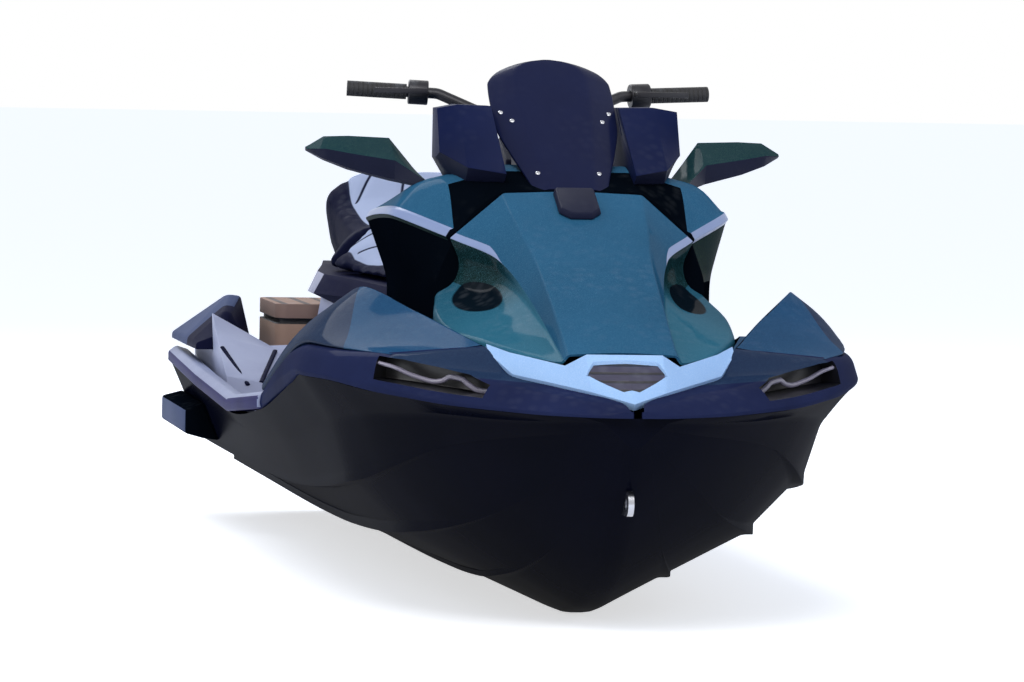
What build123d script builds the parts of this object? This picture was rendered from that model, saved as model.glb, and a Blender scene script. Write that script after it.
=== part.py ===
"""Three-seat sit-down personal watercraft (runabout), parked on its keel.

Millimetres. +X points to the bow, +Y to port, +Z up. The origin is the middle of the
craft's box, on the floor under the keel.
"""
import os
from math import cos, radians, sin

from build123d import *

os.makedirs("parts", exist_ok=True)

# Gaps between pieces
seat_gap = 0.3          # between pieces that rest on each other
panel_gap = 6.0         # round the hood, the lid and the bin
running_gap = 5.5       # between turning pump parts
pin_gap = 0.05          # round a pivot pin

# Ends of the craft
bow_x = 1790.0          # front of the bumper
transom_x = -1640.0     # back of the hull
platform_x = -1790.0    # back of the swim platform
rail_overhang = 8.0     # how far the gunwale stands out over the hull

# Hull sections. Columns: x, keel z, half width of the keel's flat, bottom knuckle y and z,
# chine y and z, side step y and z, rail y and z
HULL = [
    (transom_x, 0, 75, 380, 126, 500, 205, 535, 300, 567, 372),
    (-900, 0, 60, 380, 130, 505, 212, 545, 300, 584, 356),
    (-200, 0, 45, 380, 134, 508, 222, 550, 300, 588, 340),
    (400, 0, 35, 378, 142, 505, 240, 545, 320, 589.5, 385),
    (800, 0, 28, 375, 156, 498, 270, 532, 365, 589.5, 452),
    (1060, 4, 24, 360, 170, 490, 300, 521, 400, 588, 500),
    (1250, 28, 22, 318, 190, 446, 330, 487, 425, 558, 502),
    (1400, 75, 20, 262, 222, 385, 362, 428, 440, 505, 492),
    (1530, 145, 18, 200, 270, 305, 392, 348, 448, 432, 483),
    (1640, 235, 16, 135, 325, 212, 412, 250, 446, 337, 472),
    (1720, 325, 14, 75, 375, 125, 425, 155, 448, 229, 466),
    (1768, 400, 10, 30, 420, 50, 438, 62, 450, 105, 461),
]
strake_share = 0.45     # where the inner strake starts, between the keel's flat and the knuckle
strake_width = 24.0
strake_end = 1480.0     # where the strakes have run out
strake_fade = 300.0     # over what length they run out
strake_least = 0.08     # how much of their width is left there

# Footwell tray
floor_z = 285.0
hull_wall = 45.0        # hull thickness at the tray, at the rail
tray_depth = 400.0      # from the floor up to where the wall is measured
tray_batter = 20.0      # how far the tray's wall comes in at the floor
tray_back_x = 400.0     # where the floor starts to rise
tray_front_x = 640.0
tray_front_rise = 100.0
mat_thick = 8.0
mat_gap = 6.0           # round the mats
mat_x = (-745.0, 380.0)
mat_corner = 40.0

# Pedestal under the seats. Columns: x, half width at the foot, half width at the top
PEDESTAL = [
    (-1180, 300, 250),
    (-700, 300, 240),
    (-100, 285, 225),
    (380, 300, 240),
]
pedestal_z = 560.0
front_deck_half_width = 330.0
front_deck_z = 520.0
front_deck_x = 1000.0
rear_deck_x = -1120.0
rear_deck_z = 430.0
# Ramps from the footwell up to the rear deck. Columns: x, inner z, middle y and z, outer z
RAMP = [
    (rear_deck_x + seat_gap, 446, 382, 442, 520),
    (-1000, 400, 384, 436, 470),
    (-800, 305, 440, 370, 385),
    (-755, 292, 430, 296, 300),
]

# Engine block in its bay
engine_x = (-300.0, 280.0)
engine_half_width = 170.0
engine_z = (105.0, 520.0)
bay_gap = 15.0

# Jet pump
pump_z = 170.0
pump_front_x = -1180.0
pump_length = 230.0
pump_r = 92.0
pump_wall = 10.0
flange_r = 112.0
flange_thick = 14.0
tunnel_half_width = 130.0
tunnel_back_half_width = 178.0
tunnel_top_z = 300.0
intake_x = (-1000.0, -560.0)
intake_half_width = 85.0
hub_r = 34.0
shaft_r = 16.0
shaft_gap = 0.5
impeller_start = 18.0   # from the pump's front
impeller_length = 84.0
blade_count = 3
blade_thick = 7.0
blade_turn = 100.0      # degrees round the hub
vane_count = 7
vane_thick = 5.0
vane_length = 90.0
reduction_length = 110.0
cone_length = 60.0
outlet_r = 52.0
outlet_x = pump_front_x - pump_length - reduction_length
nozzle_pivot_x = outlet_x + 5
nozzle_x = (nozzle_pivot_x - 130, nozzle_pivot_x + 15)
nozzle_r = 76.0
nozzle_back_r = 64.0
nozzle_wall = 8.0
pivot_r = 8.0
tunnel_back_x = nozzle_pivot_x + 65     # the tunnel is wider from here, where the nozzle swings

# Reverse bucket
bucket_pivot_x = nozzle_pivot_x - 85
bucket_r = 112.0
bucket_wall = 7.0
bucket_half_width = 88.0
bucket_start = 15.0     # degrees up from straight back, raised
bucket_span = 80.0
ear_r = 24.0

# Ride plate and intake grate
plate_x = (-1690.0, -1150.0)
plate_half_width = 150.0
plate_seat_z = 30.0
plate_thick = 12.0
plate_rim = 36.0
grate_rim = 12.0
grate_bar = 8.0
grate_z = (4.0, 18.0)
grate_bars = 3

# Front body beside the hood. Columns: x, edge y and z, band y and z, fender crest y and z,
# valley y and z, inner y
FENDER = [
    (400 + panel_gap, 592, 398, 588, 425, 566, 448, 545, 440, 500),
    (700, 597, 462, 590, 500, 520, 590, 470, 540, 345),
    (900, 597, 492, 590, 545, 480, 655, 440, 570, 345),
    (1068, 596, 510, 580, 565, 453, 689, 420, 585, 336),
    (1250, 566, 510, 548, 566, 359, 641, 335, 600, 310),
    (1449, 489, 502, 467, 566, 262, 588, 260, 575, 250),
]
# Full-width nose of the bumper. Columns: x, edge y and z, band y and z, inner y and z
NOSE = [
    (1449, 489, 502, 467, 566, 262, 588),
    (1541, 432, 492, 380, 548, 216, 530),
    (1620, 366, 484, 300, 526, 134, 514),
    (1700, 266, 476, 190, 504, 60, 500),
    (1750, 175, 471, 100, 490, 20, 488),
    (bow_x, 45, 467, 28, 474, 10, 475),
]
# Silver trim at the hood's foot. Columns: y, upper x and z, lower x and z
TRIM = [
    (0, 1624, 580, 1752, 488),
    (78, 1624, 580, 1692, 508),
    (118, 1604, 556, 1652, 516),
    (216, 1500, 576, 1545, 534),
    (256, 1452, 590, 1476, 574),
]
trim_thick = 14.0
VENT = [(1638, 66), (1658, 84), (1716, 16)]   # port half of the vent seen from above: x, y
# Headlamp slot's middle line. Columns: x, y, low z, high z, how far the light guide lies over the middle
LAMP = [
    (1436, 480, 549, 560, 2),
    (1478, 427, 532, 554, -4),
    (1530, 361, 512, 543, 4),
    (1575, 303, 497, 526, -6),
    (1612, 256, 489, 503, -1),
]
lamp_turn = 38.2        # degrees that a lamp faces away from straight ahead
lamp_depth = 42.0       # behind the middle line
lamp_reach = 90.0       # ahead of it, past the bumper's face
housing_front = -20.0
guide_front = -8.0
guide_half = 4.0

# Hood sections. Columns: x, crease y and z, lip y and z, scoop y and z, shelf y and z, lobe y and z
HOOD = [
    (970, 149, 884, 262, 787, 238, 735, 250, 692, 292, 668),
    (1108, 138, 818, 182, 749, 172, 712, 205, 668, 312, 632),
    (1250, 122, 750, 148, 692, 150, 672, 190, 645, 300, 606),
    (1449, 116, 655, 124, 610, 128, 604, 165, 598, 240, 588),
    (1604, 112, 578, 120, 566, 123, 562, 130, 558, 140, 552),
]
hood_skin = 8.0
hood_drop = 30.0
hood_crown = 6.0
trim_gap = 10.0
hinge_x = 1608.0
hinge_z = 572.0
hinge_pin_r = 4.0
hinge_lug_y = (42.0, 54.0)
hinge_bracket_y = (26.0, 36.0)
hinge_bracket_r = 7.0
bracket_height = 80.0
hood_rise = 25.6        # slope of the hood's back half, degrees
latch_x = 1028.0
latch_thick = 14.0
# Latch's outline, port half: down the slope, across
LATCH = [(-60, 40), (-50, 46), (40, 46), (66, 24)]

# Upper cowl sections. Columns: x, top y and z, brow y and z, shoulder y and z, waist y and z
COWL = [
    (385, 110, 800, 200, 790, 290, 750, 285, 640),
    (560, 150, 905, 270, 890, 385, 815, 335, 690),
    (798, 150, 940, 306, 900, 371, 830, 330, 700),
    (964, 149, 890, 200, 856, 262, 787, 290, 700),
]

# Front storage bin
bin_x = (1010.0, 1430.0)
bin_half_width = 190.0
bin_z = (390.0, 575.0)
bin_wall = 5.0

# Dash, visor and front pods
dash_half_width = 74.0
visor_bottom = (962.0, 894.0)
visor_slope = 36.4      # degrees up from level
visor_thick = 6.0
# Columns: distance up the visor, half width, centre panel's half width, how far the edge lies back
VISOR = [
    (0, 78, 50, 10),
    (110, 112, 60, 18),
    (250, 146, 72, 26),
    (380, 142, 76, 24),
    (430, 100, 60, 12),
    (455, 30, 20, 1),
]
DASH_FACE = [(600, 900), (608, 1070)]   # dash's face towards the rider, x and z low and high
DASH_FRONT = [(930, 880), (900, 912), (670, 1082), (628, 1096)]     # its front under the visor, x and z
display_size = (126.0, 84.0)
display_thick = 8.0
# Columns: y, lower front x and z, upper front x and z, back x, bottom z
POD = [
    (140, 950, 924, 722, 1064, 655, 880),
    (215, 900, 935, 735, 1066, 660, 880),
    (262, 800, 965, 752, 1058, 690, 952),
]
pod_undercut = 60.0     # how far the foot of a pod's front lies behind its lower edge

# Mirrors. Columns: y, back x, front x, low z, high z
MIRROR = [
    (280, 600, 780, 884, 912),
    (341, 566, 690, 896, 989),
    (430, 562, 650, 918, 992),
    (484, 562, 630, 938, 990),
    (522, 566, 592, 958, 967),
]
glass_thick = 3.0
MIRROR_GLASS = [(345, 912), (425, 926), (482, 948), (500, 962), (482, 980), (348, 980)]     # y and z

# Steering
steer_x = 430.0
steer_z = 985.0
steer_rake = 35.0       # degrees that the column leans back
# Steering console seen from the side: x and z
CONSOLE = [(387, 780), (387, 880), (405, 958), (455, 992), (560, 945), (590, 880)]
console_half_width = 80.0
stem_r = 18.0
stem_depth = 60.0       # below the pivot
clamp_rise = 42.0
bar_r = 12.0
bar_bend_r = 40.0
grip_r = 17.0
# Starboard to centre half of the bar: x, y, z
BAR = [(356, 398, 1092), (376, 205, 1084), (394, 130, 1052), (405, 60, 1024)]
grip_length = 125.0
switch_r = 27.0
switch_length = 44.0
# Lever seen from above: x and y
LEVER = [(392, 230), (428, 234), (424, 300), (412, 352), (402, 350), (410, 296), (400, 256), (392, 256)]
lever_drop = 8.0        # below the grip's end
lever_thick = 12.0

# Glove box ahead of the seat
glove_x = (252.0, 352.0)
glove_half_width = 92.0
glove_z = (pedestal_z, 796.0)
glove_wall = 5.0
lid_thick = 12.0
lid_pin_x = 358.0
lid_pin_r = 3.0
lid_barrel_r = 5.0
lid_barrel_half = 60.0
lid_lug_y = (66.0, 74.0)

# Seats. Base columns: x, half width at the foot, half width at the flank, half width at the top, top z
SEAT_BASE = [
    (-1160, 255, 262, 250, 650),
    (-800, 262, 322, 300, 655),
    (-500, 275, 372, 350, 652),
    (-380, 275, 374, 350, 650),
    (-200, 262, 320, 300, 645),
    (0, 240, 275, 262, 640),
    (240, 225, 222, 215, 650),
]
flank_z = 605.0
# Cushion columns: x, half width low down, wing y and z, middle y and z, top y and z
FRONT_SEAT = [
    (-430, 335, 345, 672, 270, 760, 200, 835),
    (-380, 335, 345, 670, 268, 735, 170, 775),
    (-250, 300, 315, 668, 245, 695, 170, 712),
    (0, 245, 250, 662, 215, 690, 140, 712),
    (170, 205, 205, 668, 185, 700, 115, 728),
    (238, 178, 178, 668, 160, 700, 100, 722),
]
REAR_SEAT = [
    (-1150, 225, 245, 700, 262, 800, 190, 872),
    (-1060, 235, 258, 700, 280, 820, 200, 872),
    (-950, 240, 262, 695, 275, 790, 180, 800),
    (-700, 255, 268, 690, 270, 745, 170, 768),
    (-500, 325, 338, 676, 285, 745, 170, 775),
    (-436, 330, 342, 674, 280, 760, 190, 800),
]
cushion_gap = 0.5
rail_tube_r = 12.0
rail_half_width = 130.0
rail_z = 610.0
rail_reach = 75.0

# Rear deck
pad_x = (-1560.0, -1200.0)
pad_half_width = 358.0
pad_z = 540.0
pad_groove_z = (492.0, 504.0)
pad_groove_depth = 12.0
# Rear corner pods. Columns: x, inner foot y, outer y and z, crest y and z, inner crest y and z
ARCH = [
    (transom_x, 400, 566, 446, 430, 542, 400, 538),
    (-1340, 400, 566, 452, 462, 556, 430, 552),
    (-1200, 430, 564, 450, 490, 520, 470, 516),
    (-1130, 470, 562, 446, 520, 462, 505, 460),
]
platform_z = (330.0, 366.0)
platform_half_width = 520.0
platform_corner = 90.0
sponson_x = (transom_x, -1100.0)
sponson_y = 589.0
sponson_z = (215.0, 286.0)

# Eyes
eye_thick = 12.0
eye_r = 26.0
eye_hole_r = 11.0
bow_eye_x = 1712.0
bow_eye_z = 285.0
stern_eye_y = 420.0
stern_eye_z = 250.0
eye_reach = 60.0        # how far the bow eye's foot goes back into the hull


def section(x, points):
    """Closed outline of (y, z) points on the plane across the craft at x."""
    with BuildSketch(Plane.YZ.offset(x)) as outline:
        with BuildLine():
            Polyline(*points, close=True)
        make_face()
    return outline.sketch


def profile(y, points):
    """Closed outline of (x, z) points on the plane along the craft at y."""
    with BuildSketch(Plane.XZ.offset(-y)) as outline:
        with BuildLine():
            Polyline(*points, close=True)
        make_face()
    return outline.sketch


def both(points):
    """Port half from bottom to top, then the same mirrored to starboard."""
    return points + [(-y, z) for y, z in reversed(points) if y > 0]


def at(table, x):
    """A table's row at x, in straight lines between its rows."""
    rows = sorted(table)
    for low, high in zip(rows, rows[1:]):
        if x <= high[0]:
            break
    share = min(max((x - low[0]) / (high[0] - low[0]), 0), 1)
    return (x,) + tuple(a + share * (b - a) for a, b in zip(low[1:], high[1:]))


def stations(table, *others):
    """The table's rows, with more at the x of the other tables' rows between its ends."""
    ends = (table[0][0], table[-1][0])
    places = {row[0] for each in (table,) + others for row in each}
    return [at(table, x) for x in sorted(places) if min(ends) <= x <= max(ends)]


def block(x, y, z):
    """Box between the pairs of limits x, y and z."""
    with BuildPart() as piece:
        with Locations(((x[0] + x[1]) / 2, (y[0] + y[1]) / 2, (z[0] + z[1]) / 2)):
            Box(x[1] - x[0], y[1] - y[0], z[1] - z[0])
    return piece.part


def centred(x, half_width, z):
    """Box like block, as wide to port as to starboard."""
    return block(x, (-half_width, half_width), z)


def turned(x_from, x_to, r_from, r_to=None):
    """Round bar or cone on the pump's line."""
    with BuildPart() as piece:
        for x, r in ((x_from, r_from), (x_to, r_to or r_from)):
            with BuildSketch(Plane.YZ.offset(x)):
                with Locations((0, pump_z)):
                    Circle(r)
        loft()
    return piece.part


def rod(start, end, r):
    """Round rod between two points."""
    line = Vector(*end) - Vector(*start)
    with BuildPart() as piece:
        with BuildSketch(Plane(origin=start, z_dir=line)):
            Circle(r)
        extrude(amount=line.length)
    return piece.part


def bay(z_low, z_high):
    """Space round the engine block."""
    return centred((engine_x[0] - bay_gap, engine_x[1] + bay_gap), engine_half_width + bay_gap,
                   (z_low, z_high))


def pump_tunnel(z_low):
    """Space round the pump, wider where the nozzle swings."""
    with BuildPart() as space:
        add(centred((transom_x - 1, pump_front_x), tunnel_half_width, (z_low, tunnel_top_z)))
        add(centred((transom_x - 1, tunnel_back_x), tunnel_back_half_width, (z_low, tunnel_top_z)))
    return space.part


def bin_well():
    return centred((bin_x[0] - panel_gap, bin_x[1] + panel_gap), bin_half_width + panel_gap,
                   (bin_z[0] - seat_gap, bin_z[1] + 100))


def strake(y, z, width, slope):
    """Lifting strake's three corners: level outwards from the hull's bottom, then up to its slope."""
    return [(y, z), (y + width, z), (y + width + 1, z + slope * (width + 1))]


def hull_outline(row):
    x, keel_z, pad, knuckle_y, knuckle_z, chine_y, chine_z, side_y, side_z, rail_y, rail_z = row
    width = strake_width * min(max((strake_end - x) / strake_fade, strake_least), 1)
    rise = (knuckle_z - keel_z) / (knuckle_y - pad)
    start_y = pad + strake_share * (knuckle_y - pad)
    return both([(pad, keel_z)] + strake(start_y, keel_z + rise * (start_y - pad), width, rise)
                + strake(knuckle_y, knuckle_z, width, (chine_z - knuckle_z) / (chine_y - knuckle_y))
                + [(chine_y, chine_z), (side_y, side_z), (rail_y, rail_z)])


def rail(x):
    """Hull's top edge at x: y and z."""
    return at(HULL, x)[-2:]


def tray_y(x, z):
    """How far out the tray's wall is at x and z."""
    return rail(x)[0] - hull_wall - tray_batter * (1 - (z - floor_z) / tray_depth)


def tray_section(x, rise=0):
    top_y = rail(x)[0] - hull_wall
    return section(x, both([(top_y - tray_batter, floor_z + rise), (top_y, floor_z + tray_depth)]))


def rear_deck_section(x):
    low_z = floor_z + seat_gap
    return section(x, both([(tray_y(x, low_z) - seat_gap, low_z),
                            (tray_y(x, rear_deck_z) - seat_gap, rear_deck_z)]))


with BuildPart() as hull:
    loft([section(row[0], hull_outline(row)) for row in HULL], ruled=True)
    tray = [tray_section(x) for x in (transom_x - 1, HULL[1][0], HULL[2][0], tray_back_x)]
    loft(tray + [tray_section(tray_front_x, tray_front_rise)], ruled=True, mode=Mode.SUBTRACT)
    add(bay(engine_z[0] - seat_gap, floor_z + 1), mode=Mode.SUBTRACT)
    add(pump_tunnel(-1), mode=Mode.SUBTRACT)
    add(centred((transom_x - 1, plate_x[1]), plate_half_width + seat_gap, (-1, plate_seat_z + seat_gap)),
        mode=Mode.SUBTRACT)
    # Water intake, sloping from the keel up to the pump
    with BuildSketch(Plane.XZ.offset(-intake_half_width)):
        with BuildLine():
            Polyline((intake_x[1], -5), (intake_x[1], grate_z[1] + 2), (intake_x[1] - 170, 70),
                     (intake_x[0] + 60, 215), (pump_front_x - 1, pump_z + pump_r - pump_wall),
                     (pump_front_x - 1, pump_z - pump_r + pump_wall),
                     (intake_x[0], 30), (intake_x[0], -5), close=True)
        make_face()
    extrude(amount=2 * intake_half_width, mode=Mode.SUBTRACT)
    add(turned(pump_front_x - 1, engine_x[0] - bay_gap + 1, shaft_r + shaft_gap), mode=Mode.SUBTRACT)
    add(bin_well(), mode=Mode.SUBTRACT)
hull.part.label = "hull"


def deck_front_section(x, low_z):
    return section(x, both([(front_deck_half_width, low_z), (front_deck_half_width, front_deck_z)]))


with BuildPart() as deck:
    loft([section(x, both([(foot_y, floor_z + seat_gap), (top_y, pedestal_z)]))
          for x, foot_y, top_y in PEDESTAL], ruled=True)
    loft([rear_deck_section(transom_x), rear_deck_section(rear_deck_x)], ruled=True)
    add(bay(floor_z - 1, engine_z[1] + bay_gap), mode=Mode.SUBTRACT)
    # Under the cowl, over the rising end of the tray and then over the hull's top
    loft([deck_front_section(PEDESTAL[-1][0], floor_z + seat_gap),
          deck_front_section(tray_back_x, floor_z + seat_gap),
          deck_front_section(tray_front_x - seat_gap, floor_z + tray_front_rise + seat_gap)], ruled=True)
    loft([deck_front_section(row[0], row[-1] + seat_gap)
          for row in stations([at(HULL, tray_front_x - 2 * seat_gap), at(HULL, front_deck_x)], HULL)],
         ruled=True)
deck.part.label = "deck"


def ramp_section(row):
    """From the pedestal's foot over the ramp's middle line to the tray's wall."""
    x, inner_z, middle_y, middle_z, outer_z = row
    inner_y = at(PEDESTAL, x)[1] + seat_gap
    low_z = floor_z + seat_gap
    return section(x, [(inner_y, low_z), (inner_y, inner_z), (middle_y, middle_z),
                       (tray_y(x, outer_z) - seat_gap, outer_z), (tray_y(x, low_z) - seat_gap, low_z)])


with BuildPart() as footwell_ramps:
    loft([ramp_section(row) for row in stations(RAMP, HULL)], ruled=True)
    mirror(about=Plane.XZ)
footwell_ramps.part.label = "footwell_ramps"

with BuildPart() as engine_block:
    add(centred(engine_x, engine_half_width, engine_z))
    chamfer(engine_block.edges().group_by(Axis.Z)[-1], 40)
engine_block.part.label = "engine_block"


def gunwale_section(row):
    x, rail_y, rail_z = row[0], row[-2], row[-1] + seat_gap
    return section(x, [(rail_y - hull_wall, rail_z), (rail_y + rail_overhang, rail_z),
                       (rail_y + rail_overhang, rail_z + 26), (rail_y - 12, rail_z + 40),
                       (rail_y - hull_wall, rail_z + 30)])


with BuildPart() as gunwales:
    loft([gunwale_section(row) for row in HULL if row[0] <= tray_back_x], ruled=True)
    mirror(about=Plane.XZ)
gunwales.part.label = "gunwales"


def bumper_arm(row):
    x, edge_y, edge_z, band_y, band_z = row[:5]
    inner_y = row[-1]
    base_z = rail(x)[1] + seat_gap
    return section(x, [(inner_y, base_z), (edge_y - 4, base_z), (edge_y, edge_z), (band_y, band_z),
                       (inner_y, band_z)])


def bumper_nose(row):
    x, edge_y, edge_z, band_y, band_z, inner_y, inner_z = row
    base_z = rail(x)[1] + seat_gap
    return section(x, both([(edge_y - 4, base_z), (edge_y, edge_z), (band_y, band_z), (inner_y, inner_z)]))


def trim_outline(row, grow=0, above=0):
    """The trim's outline on the plane at y, grown all round and upwards for a cutter."""
    y, upper_x, upper_z, lower_x, lower_z = row
    points = [(lower_x - trim_thick / 2 + grow, lower_z - trim_thick - grow),
              (upper_x - trim_thick / 2 - grow, upper_z - trim_thick - grow)]
    if above:
        points += [(upper_x - grow, upper_z), (upper_x - grow, upper_z + above),
                   (lower_x + grow, upper_z + above), (lower_x + grow, lower_z)]
    else:
        points += [(upper_x, upper_z), (lower_x, lower_z)]
    return profile(y, points)


def trim_body(grow=0, above=0):
    """The trim, both sides as one solid."""
    with BuildPart() as body:
        loft([trim_outline(row, grow, above) for row in TRIM], ruled=True)
        if above:
            y, *places = TRIM[-1]
            loft([trim_outline(TRIM[-1], grow, above), trim_outline((y + grow, *places), grow, above)],
                 ruled=True)
        mirror(about=Plane.XZ)
    return body.part


def hood_half(row, inset=0):
    """Port half of a hood section from the skirt's foot up to the crown."""
    x, crease_y, crease_z, lip_y, lip_z, scoop_y, scoop_z, shelf_y, shelf_z, lobe_y, lobe_z = row
    sides = [(lobe_y, lobe_z), (shelf_y, shelf_z), (scoop_y, scoop_z), (lip_y, lip_z)]
    return ([(lobe_y - inset, lobe_z - hood_drop - inset)] + [(y - inset, z - inset) for y, z in sides]
            + [(crease_y - inset / 2, crease_z - inset), (0, crease_z + hood_crown - inset)])


def hood_space():
    """Room for the hood, its skirt and a hand's width under it."""
    rows = [(row[0], row[-2] + panel_gap, row[-1] - hood_drop - 2 * panel_gap) for row in HOOD]
    rows.append((rows[-1][0] + panel_gap,) + rows[-1][1:])
    with BuildPart() as space:
        loft([section(x, both([(y, z), (y, z + 400)])) for x, y, z in rows], ruled=True)
    return space.part


def vent_space(grow=0):
    """The vent's six-sided opening, straight down."""
    corners = [(x, y + grow) for x, y in VENT]
    with BuildPart() as space:
        with BuildSketch(Plane.XY.offset(300)):
            with BuildLine():
                Polyline(*corners, *[(x, -y) for x, y in reversed(corners)], close=True)
            make_face()
        extrude(amount=400)
    return space.part


def lamp_section(row, side, back, front, low, high):
    """Four-sided section square to the lamp's line, from back to front of it and from low to high."""
    facing = (cos(radians(lamp_turn)), side * sin(radians(lamp_turn)))
    with BuildSketch(Plane(origin=(row[0], side * row[1], 0), x_dir=(*facing, 0),
                           z_dir=(facing[1], -facing[0], 0))) as outline:
        with BuildLine():
            Polyline((back, low), (front, low), (front, high), (back, high), close=True)
        make_face()
    return outline.sketch


def lamp_slot(side):
    """Opening for a headlamp in the bumper's face."""
    with BuildPart() as slot:
        loft([lamp_section(row, side, -lamp_depth, lamp_reach, row[2], row[3]) for row in LAMP], ruled=True)
    return slot.part


with BuildPart() as bow_bumper:
    loft([bumper_nose(row) for row in stations(NOSE, HULL)], ruled=True)
    loft([bumper_arm(row) for row in stations(FENDER, HULL)], ruled=True)
    mirror(about=Plane.XZ)
    add(trim_body(2 * seat_gap, 80), mode=Mode.SUBTRACT)
    add(hood_space(), mode=Mode.SUBTRACT)
    add(bin_well(), mode=Mode.SUBTRACT)
    for side in (1, -1):
        add(lamp_slot(side), mode=Mode.SUBTRACT)
bow_bumper.part.label = "bow_bumper"

with BuildPart() as nose_trim:
    add(trim_body())
    add(vent_space(), mode=Mode.SUBTRACT)
nose_trim.part.label = "nose_trim"

with BuildPart() as nose_vent:
    loft([profile(y, [(upper_x - 2, upper_z - 6), (lower_x - 2, lower_z - 6), (lower_x - 4, lower_z - 13),
                      (upper_x - 4, upper_z - 13)])
          for y, upper_x, upper_z, lower_x, lower_z in TRIM[:2]], ruled=True)
    mirror(about=Plane.XZ)
    add(vent_space(-seat_gap), mode=Mode.INTERSECT)
nose_vent.part.label = "nose_vent"


def fender_section(row):
    x, edge_y, edge_z, band_y, band_z, crest_y, crest_z, valley_y, valley_z, inner_y = row
    low_z = band_z + seat_gap
    return section(x, [(inner_y, low_z), (band_y, low_z), (crest_y, crest_z), (valley_y, valley_z),
                       (inner_y, valley_z)])


with BuildPart() as fenders:
    loft([fender_section(row) for row in stations(FENDER, HULL)], ruled=True)
    mirror(about=Plane.XZ)
    add(trim_body(seat_gap, 80), mode=Mode.SUBTRACT)
    add(hood_space(), mode=Mode.SUBTRACT)
fenders.part.label = "fenders"

with BuildPart() as hood:
    loft([section(row[0], both(hood_half(row))) for row in HOOD], ruled=True)
    inner = stations([at(HOOD, HOOD[0][0] + hood_skin), at(HOOD, HOOD[-1][0] - hood_skin)], HOOD)
    loft([section(row[0], both(hood_half(row, hood_skin))) for row in
          [at(HOOD, row[0]) for row in inner]], ruled=True, mode=Mode.SUBTRACT)
    add(trim_body(trim_gap, 80), mode=Mode.SUBTRACT)
    # Hinge pins on lugs, and notches for the brackets that hold them
    for side in (1, -1):
        lug_y = sorted((side * hinge_lug_y[0], side * hinge_lug_y[1]))
        notch_y = sorted((side * (hinge_bracket_y[0] - panel_gap), side * (hinge_bracket_y[1] + panel_gap)))
        add(block((hinge_x - 20, hinge_x + 20), notch_y, (hinge_z - 60, hinge_z + 40)), mode=Mode.SUBTRACT)
        add(block((hinge_x - 16, hinge_x), lug_y, (hinge_z - hinge_pin_r, hinge_z + hinge_pin_r)))
        add(rod((hinge_x, side * hinge_bracket_y[0], hinge_z), (hinge_x, side * hinge_lug_y[1], hinge_z),
                hinge_pin_r))
hood.part.label = "hood"

with BuildPart() as hood_brackets:
    for side in (1, -1):
        bracket_y = sorted((side * hinge_bracket_y[0], side * hinge_bracket_y[1]))
        add(block((hinge_x - hinge_bracket_r, hinge_x + hinge_bracket_r), bracket_y,
                  (hinge_z - bracket_height, hinge_z)))
        add(rod((hinge_x, bracket_y[0], hinge_z), (hinge_x, bracket_y[1], hinge_z), hinge_bracket_r))
    add(rod((hinge_x, -60, hinge_z), (hinge_x, 60, hinge_z), hinge_pin_r + pin_gap), mode=Mode.SUBTRACT)
    add(bow_bumper.part, mode=Mode.SUBTRACT)
    add(nose_trim.part, mode=Mode.SUBTRACT)
    add(hull.part, mode=Mode.SUBTRACT)
hood_brackets.part.label = "hood_brackets"

latch_plane = Plane(origin=(latch_x, 0, at(HOOD, latch_x)[2] + hood_crown + seat_gap),
                    x_dir=(cos(radians(hood_rise)), 0, -sin(radians(hood_rise))),
                    z_dir=(sin(radians(hood_rise)), 0, cos(radians(hood_rise))))
with BuildPart() as hood_latch:
    with BuildSketch(latch_plane):
        with BuildLine():
            Polyline(*[(along, -across) for along, across in LATCH], *reversed(LATCH), close=True)
        make_face()
    extrude(amount=latch_thick, taper=20)
hood_latch.part.label = "hood_latch"

with BuildPart() as storage_bin:
    add(centred(bin_x, bin_half_width, bin_z))
    add(centred((bin_x[0] + bin_wall, bin_x[1] - bin_wall), bin_half_width - bin_wall,
                (bin_z[0] + bin_wall, bin_z[1] + 1)), mode=Mode.SUBTRACT)
storage_bin.part.label = "storage_bin"

with BuildPart() as upper_cowl:
    loft([section(x, both([(min(front_deck_half_width, waist_y), front_deck_z + seat_gap),
                           (waist_y, waist_z),
                           (shoulder_y, shoulder_z), (brow_y, brow_z), (top_y, top_z)]))
          for x, top_y, top_z, brow_y, brow_z, shoulder_y, shoulder_z, waist_y, waist_z in COWL], ruled=True)
upper_cowl.part.label = "upper_cowl"

rake = radians(steer_rake)
steer_axis = Vector(-sin(rake), 0, cos(rake))
pivot = Vector(steer_x, 0, steer_z)

with BuildPart() as console:
    with BuildSketch(Plane.XZ.offset(-console_half_width)):
        with BuildLine():
            Polyline(*CONSOLE, close=True)
        make_face()
    extrude(amount=2 * console_half_width)
    add(upper_cowl.part, mode=Mode.SUBTRACT)
    add(rod(tuple(pivot - steer_axis * (stem_depth + 10)), tuple(pivot + steer_axis * 60),
            stem_r + shaft_gap), mode=Mode.SUBTRACT)
console.part.label = "console"

slope = radians(visor_slope)
visor_up = Vector(-cos(slope), 0, sin(slope))
visor_out = Vector(sin(slope), 0, cos(slope))


def visor_plane(distance):
    start = Vector(visor_bottom[0], 0, visor_bottom[1]) + visor_up * distance
    return Plane(origin=start, x_dir=(0, 1, 0), z_dir=visor_up)


with BuildPart() as visor:
    for distance, half, crease, back in VISOR:
        with BuildSketch(visor_plane(distance)):
            with BuildLine():
                Polyline((-half, back), (-crease, 0), (crease, 0), (half, back),
                         (half, back + visor_thick), (crease, visor_thick), (-crease, visor_thick),
                         (-half, back + visor_thick), close=True)
            make_face()
    loft(ruled=True)
    add(upper_cowl.part, mode=Mode.SUBTRACT)
visor.part.label = "visor"

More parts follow.
